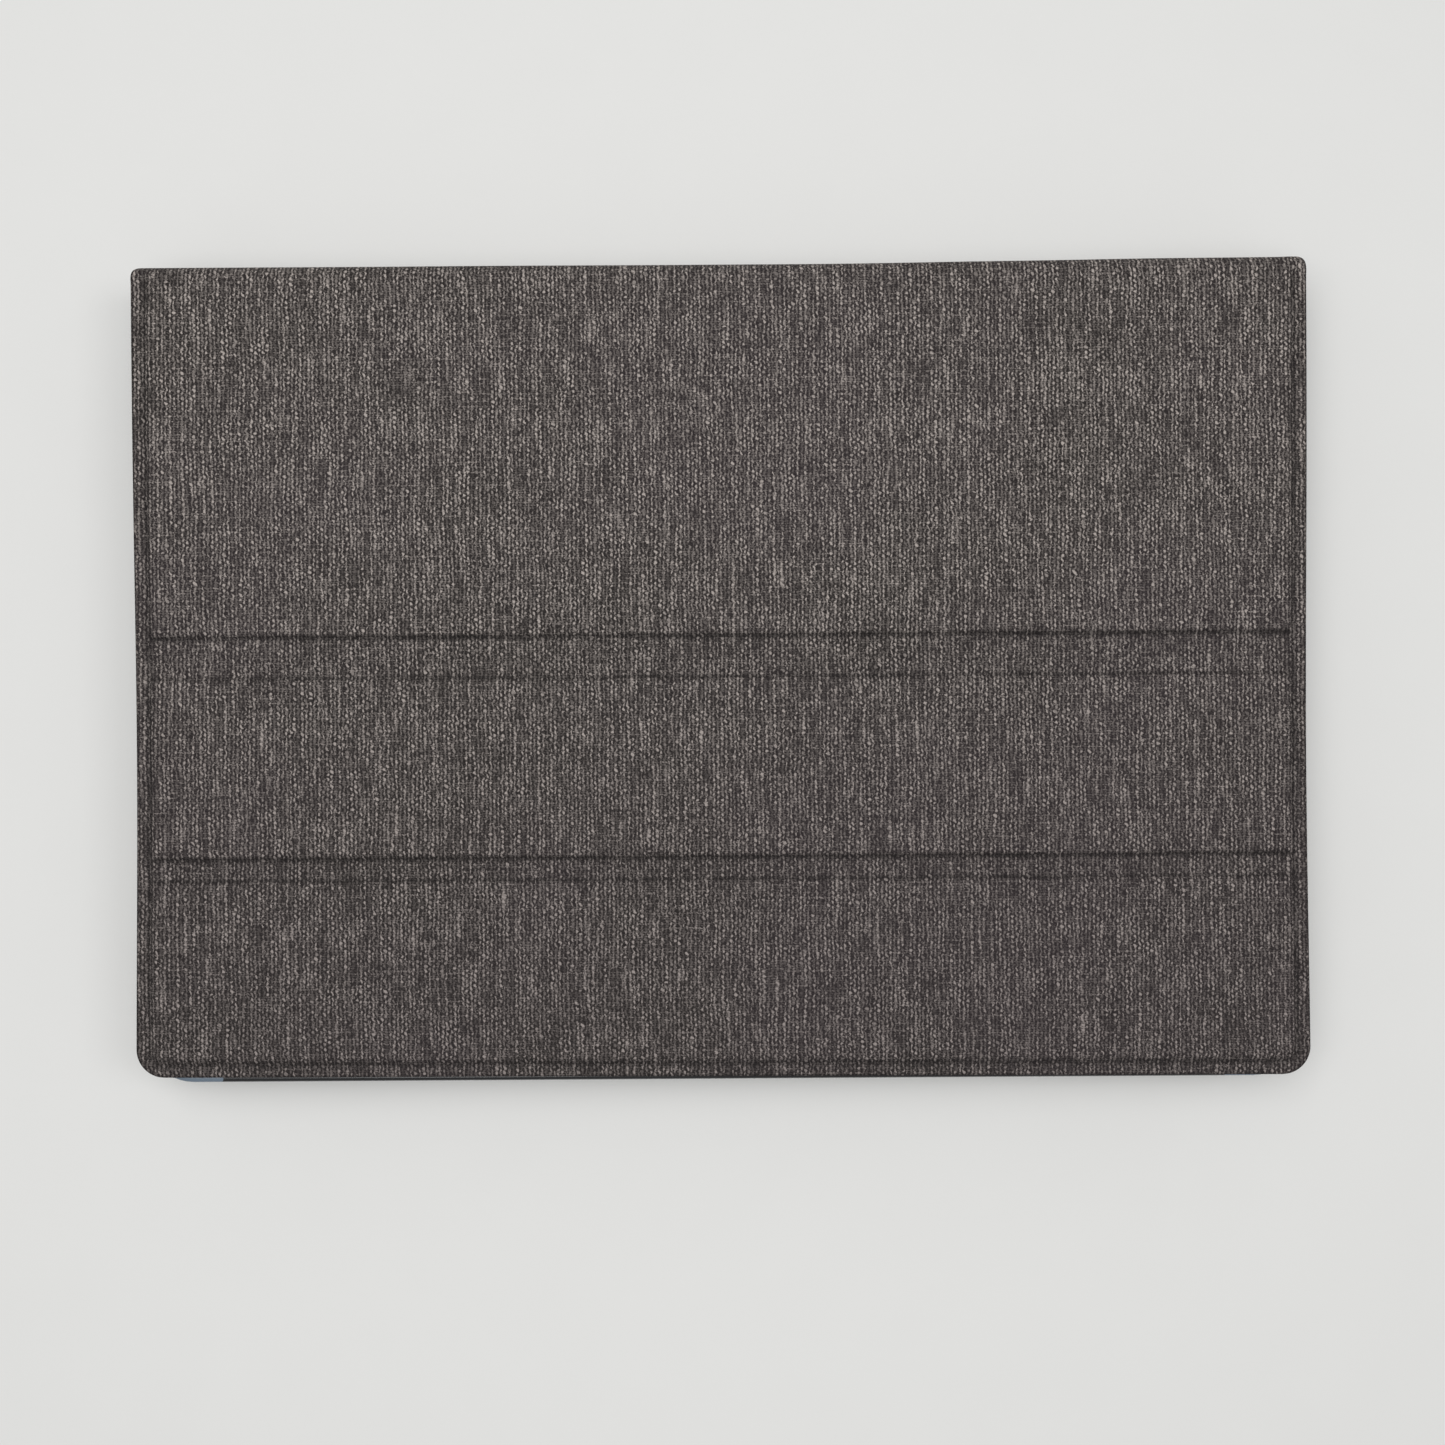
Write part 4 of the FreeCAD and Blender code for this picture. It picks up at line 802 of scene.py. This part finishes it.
@dataclass
class Folio:
    """Cloth over boards: front cover, spine, back panel, and the stand with its two fold bands."""

    flange: float = 2.5 * MM
    shoulder: float = 1.9 * MM
    groove: float = 0.12 * MM
    groove_shift: float = 0.3 * MM
    groove_width: float = 0.6 * MM
    # Painted shade in the groove along the pressed border, and on the sunk border beside it.
    groove_dark: float = 0.42
    border_drop: float = 1.25 * MM
    border_dark: float = 0.10
    corner: float = 6.1 * MM
    edge_roll: float = 0.6 * MM
    edge_drop: float = 0.18 * MM
    edge_dark: float = 0.55
    darkest: float = 0.9
    skin_thickness: float = 0.7 * MM
    lining_thickness: float = 0.5 * MM
    lining_inset: float = 0.25 * MM
    lining_turn: float = 2.2 * MM
    roll_taper: float = 1.3 * MM
    roll_fade: Pair = (0.0, 0.75)
    waist: float = 0.7 * MM
    waist_y: float = -18 * MM
    waist_spread: float = 55 * MM
    spine_swell: float = 0.5 * MM
    spine_end_swell: float = 0.9 * MM
    swell_from: float = 10 * MM
    free_edge_skew: float = 0.8 * MM
    ripple: float = 0.07 * MM
    ripple_run: float = 26 * MM
    band_drops: Pair = (0.75 * MM, 0.70 * MM)
    fold_reach: float = 2.2 * MM
    coarse_row: float = 3.0 * MM
    coarse_column: float = 3.5 * MM
    border_zone: float = 7.5 * MM
    border_column: float = 0.35 * MM
    border_row: float = 0.3 * MM
    roll_row: float = 0.4 * MM
    fold_zone: float = 3.0 * MM
    fold_row: float = 0.25 * MM
    rim_zone: float = 1.0 * MM
    rim_row: float = 0.1 * MM

    def __post_init__(self) -> None:
        """Take the main sizes from the frame."""
        front_low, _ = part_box("front_cover_skin")
        _, back_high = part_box("back_panel_skin")
        _, spine_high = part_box("spine_skin")
        free_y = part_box("foot_panel_skin")[0].y
        roll_y = joint_named(Bend.UPPER_ROLL.value)["pos_m"][1]
        self.half_width = back_high.x
        self.roll_radius = spine_high.y - roll_y
        self.skin = Section(front_low.y, spine_high.y, front_low.z, back_high.z, free_y, self.roll_radius)
        self.lining = Section(
            front_low.y,
            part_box("spine_lining")[0].y,
            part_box("front_cover_lining")[1].z,
            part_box("back_panel_lining")[0].z,
            free_y,
            self.lining_turn,
        )
        folds = (Bend.STAND, Bend.STAND_SECOND, Bend.FOOT, Bend.FOOT_SECOND)
        self.lines = [joint_named(bend.value)["pos_m"][1] for bend in folds]
        pairs = zip(self.lines[::2], self.lines[1::2], self.band_drops)
        self.bands = [FoldBand(upper, lower, drop) for upper, lower, drop in pairs]

    def fold_depth(self, x: float, y: float) -> tuple[float, float]:
        """Find how the cloth sinks into the fold bands.

        Args:
            x, y: Place on the back cover.

        Returns:
            How deep it lies, and the painted shade of the crease lines and bands there, from 0 to 1.
        """
        sinks = [band.sink(x, y) for band in self.bands]
        return sum(depth for depth, _ in sinks), min(1.0, sum(dark for _, dark in sinks))

    def half_at(self, point: Vector, out: Vector) -> float:
        """Find the half width of the cloth.

        Args:
            point: Point of its section.
            out: Normal there.

        Returns:
            The half width.
        """
        half = self.half_width - self.roll_taper * (1 - math.sqrt(max(0.0, 1 - out.y**2)))
        if out.z > MOSTLY_UP:
            half -= self.waist * hump(point.y, self.waist_y, self.waist_spread)
        return half

    def along(self, section: Section, share: float, row: float) -> tuple[float, float]:
        """Draw the last panel in towards one end of the free edge.

        Args:
            section: The line that the sheet follows.
            share: Place across, from -1 at the left to 1 at the right.
            row: Length along the line.

        Returns:
            The length along the line that the row comes to, and the distance to the nearest free edge.
        """
        line = section.over_top(self.lines[-1])
        tail = section.length - line
        shortened = self.free_edge_skew * (1 - share) / 2
        if row > line:
            row = line + (row - line) * (tail - shortened) / tail
        return row, min(row, section.length - shortened - row)

    def drawn_in(self, edge: float) -> float:
        """Give how far the rounded corners draw the side in at a distance from the free edge."""
        within = self.corner - min(self.corner, max(0.0, edge))
        return self.corner - math.sqrt(self.corner**2 - within**2)

    def from_outline(self, side: float, edge: float) -> float:
        """Find the distance to the rounded outline.

        Args:
            side: Distance to the nearer side.
            edge: Distance to the free edge.

        Returns:
            The distance, which is less in the corner.
        """
        if side < self.corner and edge < self.corner:
            return self.corner - math.hypot(self.corner - side, self.corner - edge)
        return min(side, edge)

    def skin_place(self, share: float, row: float) -> tuple[Vector, tuple[float, float], float]:
        """Place a point of the outer cloth.

        Args:
            share: Place across, from -1 at the left to 1 at the right.
            row: Length along the section.

        Returns:
            The point, its place on the flat cloth, and its painted shade in creases, groove and sunk border,
            with dark edge paint at the rim.
        """
        row, edge = self.along(self.skin, share, row)
        point, out = self.skin.at(row)
        half = self.half_at(point, out)
        x = share * (half - self.drawn_in(edge))
        inwards = self.from_outline(half - abs(x), edge)
        flat_part = 1 - smooth(out.y, *self.roll_fade)
        raised = smooth(inwards, self.flange, self.flange + self.shoulder)
        groove = hump(inwards, self.flange + self.groove_shift, self.groove_width)
        rim = 1 - smooth(inwards, 0, self.edge_roll)
        sunk = flat_part * (self.border_drop * (1 - raised) + self.groove * groove)
        sunk += self.edge_drop * rim
        # Painted shade in the groove and on the sunk border, then dark edge paint at the rim.
        dark = flat_part * (self.groove_dark * groove + self.border_dark * (1 - raised))
        dark += self.edge_dark * rim
        if out.z > MOSTLY_UP:
            # Painted shade of the fold bands' crease lines and recesses.
            depth, line = self.fold_depth(x, point.y)
            sunk += raised * depth
            dark += raised * line
        sunk += self.ripple * (0.5 + noise.noise(Vector((x, row, 0)) / self.ripple_run)) * raised
        swell = self.spine_swell + self.spine_end_swell * smooth(x, self.swell_from, self.half_width)
        shift = Vector((x, swell * max(0.0, out.y), 0))
        return point - sunk * out + shift, (x, row), min(self.darkest, dark)

    def lining_place(self, share: float, row: float) -> tuple[Vector, tuple[float, float], float]:
        """Place a point of the lining.

        Args:
            share: Place across, from -1 at the left to 1 at the right.
            row: Length along the section.

        Returns:
            The point, its place on the flat lining, and no painted crease shade.
        """
        row, edge = self.along(self.lining, share, row)
        point, out = self.lining.at(row)
        x = share * (self.half_at(point, out) - self.lining_inset - self.drawn_in(edge))
        return point + Vector((x, 0, 0)), (x, row), 0.0

    def sheet(
        self, name: str, rows: list[float], columns: list[float], place: Callable, finishes: Sequence[Finish]
    ) -> bpy.types.Object:
        """Make a sheet of cloth from a grid.

        Args:
            name: Name of the piece.
            rows: Lengths along the section, from the front cover.
            columns: Places across, from -1 to 1.
            place: Gives a point, its flat place and its painted crease shade from a column and a row.
            finishes: Finish of the face, the back and the cut edge.

        Returns:
            The sheet, with its thickness behind its face.
        """
        tool = bmesh.new()
        bmesh.ops.create_grid(tool, x_segments=len(columns) - 1, y_segments=len(rows) - 1, size=1)
        # Layer of painted crease shade, read by the cloth's material.
        crease = tool.verts.layers.float.new(CREASE_SHADE)
        weave = tool.loops.layers.uv.new("cloth")
        flat = {}
        for vert in tool.verts:
            column = columns[round((vert.co.x + 1) / 2 * (len(columns) - 1))]
            row = rows[round((vert.co.y + 1) / 2 * (len(rows) - 1))]
            vert.co, flat[vert], vert[crease] = place(column, row)
        for face in tool.faces:
            for loop in face.loops:
                loop[weave].uv = flat[loop.vert]
        thickness = self.lining_thickness
        if place == self.skin_place:
            thickness = self.skin_thickness
            bmesh.ops.reverse_faces(tool, faces=tool.faces)
        tool.normal_update()
        bmesh.ops.solidify(tool, geom=list(tool.faces), thickness=thickness)
        for face in tool.faces:
            shown = sum(vert in flat for vert in face.verts)
            face.material_index = {0: 1, len(face.verts): 0}.get(shown, 2)
        piece = piece_from(tool, name, finishes)
        piece.data.set_sharp_from_angle(angle=SHEET_SHARP)
        return piece

    def columns(self) -> list[float]:
        """Set out the columns of a sheet, close together at the pressed border.

        Returns:
            Places across, from -1 to 1.
        """
        half, border = self.half_width, self.border_zone
        ends = ((-half, border - half), (half - border, half))
        zones = [Zone(low, high, self.border_column) for low, high in ends]
        return [x / half for x in stations(-half, half, self.coarse_column, zones)]

    def rows(self, section: Section, start: float, end: float) -> list[float]:
        """Set out the rows of one stretch, close together at edges, rolls and folds.

        Args:
            section: The line that the sheet follows.
            start, end: First and last row.

        Returns:
            Lengths along the line.
        """
        runs, length = section.runs, section.length
        rolls = (runs[0], sum(runs[:3]))
        folds = [section.over_top(y) for y in self.lines]
        zones = [Zone(at - MM, at + runs[1] + MM, self.roll_row) for at in rolls]
        zones += [Zone(at - self.fold_zone, at + self.fold_zone, self.fold_row) for at in folds]
        for reach, step in ((self.border_zone, self.border_row), (self.rim_zone, self.rim_row)):
            zones += [Zone(0.0, reach, step), Zone(length - reach, length, step)]
        return stations(start, end, self.coarse_row, zones)

    def bend(self, piece: bpy.types.Object, bend: Bend) -> None:
        """Work out where a sheet would bend about its joint, and bake the sheet's placement into its mesh;
        nothing makes the sheet bend.

        Args:
            piece: The sheet.
            bend: The joint.
        """
        joint = joint_named(bend.value)
        axis = Vector(joint["pos_m"])
        down, out, up, back = (Vector(way) for way in ((0, 0, -1), (0, 1, 0), (0, 0, 1), (0, -1, 0)))
        if bend is Bend.LOWER_ROLL:
            start, end = axis + self.roll_radius * down, axis + self.roll_radius * out
        elif bend is Bend.UPPER_ROLL:
            start, end = axis + self.roll_radius * out, axis + self.roll_radius * up
        else:
            start, end = axis + self.fold_reach * out, axis + self.fold_reach * back
        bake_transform(piece)

    def stretches(self, section: Section) -> list[tuple[float, float]]:
        """Cut the line in the middle of each panel, so that each stretch has one bend.

        Args:
            section: The line that the sheets follow.

        Returns:
            Start and end of each stretch.
        """
        edges = [section.turn_y, *self.lines]
        middles = [(near + far) / 2 for near, far in zip(edges, edges[1:])]
        cuts = [0.0, sum(section.runs[:2]) + section.runs[2] / 2]
        cuts += [section.over_top(y) for y in middles] + [section.length]
        return list(zip(cuts, cuts[1:]))

    def build(self) -> list[bpy.types.Object]:
        """Make the outer cloth and the lining, each in six stretches.

        Returns:
            The sheets.
        """
        covered = {
            "front": ["front_cover"],
            "spine": ["spine"],
            "back": ["back_panel"],
            "upper_band": ["upper_strip"],
            "stand": ["stand_panel"],
            "foot": ["lower_strip", "foot_panel"],
        }
        sheets = []
        layers = (
            ("cloth", "skin", self.skin, self.skin_place, (CLOTH, CLOTH_BACK, CUT_EDGE), "cover_cloth"),
            ("suede", "lining", self.lining, self.lining_place, (LINING, CLOTH_BACK, LINING), "lining_suede"),
        )
        for layer, kind, section, place, finishes, slot in layers:
            for (name, panels), bend, (start, end) in zip(covered.items(), Bend, self.stretches(section)):
                rows = self.rows(section, start, end)
                sheet = self.sheet(f"{name}_{layer}", rows, self.columns(), place, finishes)
                self.bend(sheet, bend)
                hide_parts(*(f"{panel}_{kind}" for panel in panels))
                2 * self.half_width
                end - start
                sheets.append(sheet)
        return sheets

    def dress(self) -> None:
        """Give the boards and magnets their finishes."""
        panels = ("front_cover", "spine", "back_panel", "stand_panel", "foot_panel")
        dress(COVER_BOARD, *(f"{panel}_board" for panel in panels))
        dress(MAGNET, "closure_magnets", "stand_magnets", "foot_magnets")


@dataclass
class TabletTray:
    """Hard shell with corner guards, and the soft frame that grips the tablet."""

    guard_length: float = 17.0 * MM

    def build(self) -> list[bpy.types.Object]:
        """Make nothing new: the frame's solids have the shapes."""
        return []

    def dress(self) -> None:
        """Give the tray its finishes."""
        low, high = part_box("tray_shell")
        shell = GuardedShell(
            "slate_polycarbonate",
            srgb(104, 118, 132),
            roughness=0.24,
            grain=0.5 * MM,
            depth=0.006 * MM,
            coat=0.5,
            unevenness=0.03,
            half_width=high.x,
            half_depth=(high.y - low.y) / 2,
            centre_y=(high.y + low.y) / 2,
            top_z=high.z,
            guard=self.guard_length,
        )
        dress(shell, "tray_shell")
        dress(BUMPER, "tray_bumper")
        dress(FOAM_TAPE, "tray_adhesive_pad")
        dress(MAGNET, "tray_magnets")


@dataclass
class Keyboard:
    """Slim keyboard: keycaps with legends over the deck, and the parts inside."""

    lip: float = 0.9 * MM
    skirt: float = 2.0 * MM
    taper: float = 0.25 * MM
    corner: float = 1.2 * MM
    edge: float = 0.32 * MM
    dish_inset: float = 0.9 * MM
    dish: float = 0.10 * MM
    legend_height: float = 3.3 * MM
    word_height: float = 2.2 * MM
    legend_lift: float = 0.02 * MM
    corner_segments: int = 4
    edge_segments: int = 3
    roof_facing: float = 0.9
    flat_facing: float = 0.98
    letter_steps: int = 3

    LEGENDS: ClassVar[dict[str, list[str]]] = {
        "function_keys": ["esc", *(f"F{number}" for number in range(1, 13)), "ins", "del"],
        "number_keys": list("`1234567890-="),
        "backspace_key": ["back"],
        "tab_key": ["tab"],
        "upper_letter_keys": list("QWERTYUIOP[]"),
        "backslash_key": ["\\"],
        "caps_lock_key": ["caps"],
        "home_letter_keys": list("ASDFGHJKL;'"),
        "enter_key": ["enter"],
        "left_shift_key": ["shift"],
        "lower_letter_keys": list("ZXCVBNM,./"),
        "right_shift_key": ["shift"],
        "left_modifier_keys": ["ctrl", "fn", "menu", "alt"],
        "space_bar": [""],
        "right_modifier_keys": ["alt", "menu", "ctrl"],
        "arrow_keys": ["<", "v", "^", ">"],
    }

    def keycap(self, tool: bmesh.types.BMesh, low: Vector, high: Vector) -> None:
        """Add one keycap: a tapered block with rounded corners, soft edges and a shallow dish.

        Args:
            tool: Where it is added.
            low, high: Corners of the box of the frame's keycap, with its lip.
        """
        inset = Vector((self.lip, self.lip, 0))
        low, high = low + inset, high - inset
        low.z = high.z - self.skirt
        middle, span = (low + high) / 2, high - low
        verts = bmesh.ops.create_cube(tool, size=1)["verts"]
        bmesh.ops.scale(tool, vec=span, verts=verts)
        top = [vert for vert in verts if vert.co.z > 0]
        shrink = Vector((1 - 2 * self.taper / span.x, 1 - 2 * self.taper / span.y, 1))
        bmesh.ops.scale(tool, vec=shrink, verts=top)
        bmesh.ops.translate(tool, vec=middle, verts=verts)
        edges = {edge for vert in verts for edge in vert.link_edges}
        upright = [edge for edge in edges if abs(edge.verts[0].co.z - edge.verts[1].co.z) > self.skirt / 2]
        style = {"affect": "EDGES", "profile": 0.5, "material": -1}
        bmesh.ops.bevel(tool, geom=upright, offset=self.corner, segments=self.corner_segments, **style)
        own = [face for face in tool.faces if self.inside(face, low, high)]
        rim = [edge for face in own if face.normal.z > self.roof_facing for edge in face.edges]
        bmesh.ops.bevel(tool, geom=rim, offset=self.edge, segments=self.edge_segments, **style)
        own = [face for face in tool.faces if self.inside(face, low, high)]
        roof = max(own, key=lambda face: face.calc_center_median().z)
        bmesh.ops.inset_individual(tool, faces=[roof], thickness=self.dish_inset, depth=-self.dish)

    @staticmethod
    def inside(face: bmesh.types.BMFace, low: Vector, high: Vector) -> bool:
        """Tell whether a face has its middle in one keycap's outline, seen from above."""
        middle = face.calc_center_median()
        return low.x <= middle.x <= high.x and low.y <= middle.y <= high.y

    def legend(self, tool: bmesh.types.BMesh, text: str, low: Vector, high: Vector) -> None:
        """Print a legend on the dish of a keycap.

        Args:
            tool: Where the letters are added.
            text: The legend.
            low, high: Corners of the box of the frame's keycap.
        """
        curve = bpy.data.curves.new("legend", "FONT")
        curve.body = text
        curve.align_x = "CENTER"
        curve.align_y = "CENTER"
        curve.size = self.legend_height if len(text) == 1 else self.word_height
        curve.extrude = self.legend_lift / 2
        curve.resolution_u = self.letter_steps
        writing = bpy.data.objects.new("legend", curve)
        mesh = bpy.data.meshes.new_from_object(writing)
        middle = (low + high) / 2
        middle.z = high.z - self.dish + self.legend_lift / 2
        mesh.transform(Matrix.Translation(middle))
        tool.from_mesh(mesh)
        bpy.data.meshes.remove(mesh)
        bpy.data.objects.remove(writing)
        bpy.data.curves.remove(curve)

    def build(self) -> list[bpy.types.Object]:
        """Make the keycaps and legends of each run of keys.

        Returns:
            The pieces.
        """
        pieces = []
        for node, texts in self.LEGENDS.items():
            caps, letters = bmesh.new(), bmesh.new()
            for (low, high), text in zip(solid_boxes(node), texts, strict=True):
                self.keycap(caps, low, high)
                if text:
                    self.legend(letters, text, low, high)
            piece = piece_from(caps, f"{node}_caps", [KEYCAP])
            piece.data.set_sharp_from_angle(angle=KEY_SHARP)
            for face in piece.data.polygons:
                face.use_smooth = face.normal.z < self.flat_facing
            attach(piece, node)
            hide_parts(node)
            pieces.append(piece)
            if not letters.verts:
                letters.free()
                continue
            print_piece = piece_from(letters, f"{node}_legends", [LEGEND])
            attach(print_piece, node)
            pieces.append(print_piece)
        return pieces

    def dress(self) -> None:
        """Give the case, the touchpad and the parts inside their finishes."""
        dress(DECK, "keyboard_top_case", "keyboard_bottom_case", "switch_housing", "touchpad_switch")
        dress(KEYCAP, "power_switch")
        dress(TOUCH_FILM, "touchpad")
        dress(STEEL, "key_backplate", "charging_port", "case_screws")
        dress(FILM, "key_membrane")
        dress(DOME, "dome_sheet")
        dress(CIRCUIT, "controller_board")
        dress(FOIL, "battery_pouch")
        dress(LIGHT_PIPE, "status_lights")
        dress(FOOT, "deck_bumpers")


@dataclass(frozen=True)
class Lamp:
    """A square soft light that faces the case."""

    name: str
    place: tuple[float, float, float]
    size: float
    energy: float

    def build(self) -> None:
        """Hang the light."""
        light = bpy.data.lights.new(self.name, "AREA")
        light.size = self.size
        light.energy = self.energy
        lamp = bpy.data.objects.new(self.name, light)
        lamp.location = self.place
        lamp.rotation_euler = (-Vector(self.place)).to_track_quat("-Z", "Y").to_euler()
        bpy.context.scene.collection.objects.link(lamp)


@dataclass
class Studio:
    """Pale table, soft light and a camera straight above the case."""

    picture_width: float = 308.6 * MM
    distance: float = 400 * MM
    centre_x: float = 0.25 * MM
    centre_y: float = -10.55 * MM
    roll: float = math.radians(-0.38)
    table_width: float = 6.0
    table_cells: int = 4
    world_light: float = 0.31
    lamps: tuple[Lamp, ...] = (
        Lamp("ceiling", (-0.1, 0.06, 1.0), 0.7, 7.0),
        Lamp("side", (0.64, 0.08, 1.2), 0.4, 2.2),
    )

    def build(self) -> list[bpy.types.Object]:
        """Make the table, the lights and the camera.

        Returns:
            Nothing that belongs to the object.
        """
        tool = bmesh.new()
        cells = self.table_cells
        bmesh.ops.create_grid(tool, x_segments=cells, y_segments=cells, size=self.table_width / 2)
        piece_from(tool, "table", [TABLE])
        scene = bpy.context.scene
        scene.view_settings.view_transform = "Standard"
        scene.world = bpy.data.worlds.new("studio")
        scene.world.use_nodes = True
        background = scene.world.node_tree.nodes["Background"]
        background.inputs["Color"].default_value = WHITE
        background.inputs["Strength"].default_value = self.world_light
        for lamp in self.lamps:
            lamp.build()
        lens = bpy.data.cameras.new("camera")
        lens.lens = lens.sensor_width * self.distance / self.picture_width
        camera = bpy.data.objects.new("camera", lens)
        camera.location = (self.centre_x, self.centre_y, CAD_BOX[1].z + self.distance)
        camera.rotation_euler = (0, 0, self.roll)
        scene.collection.objects.link(camera)
        scene.camera = camera
        return []

    def dress(self) -> None:
        """Need no more than what build sets."""


def main() -> None:
    """Build and dress each assembly."""
    logging.basicConfig(level=logging.INFO, format="%(message)s")
    for assembly in (Folio(), TabletTray(), Keyboard(), Studio()):
        for piece in assembly.build():
            LOG.info("%s: %d faces", piece.name, len(piece.data.polygons))
        assembly.dress()


if __name__ == "__main__":
    main()
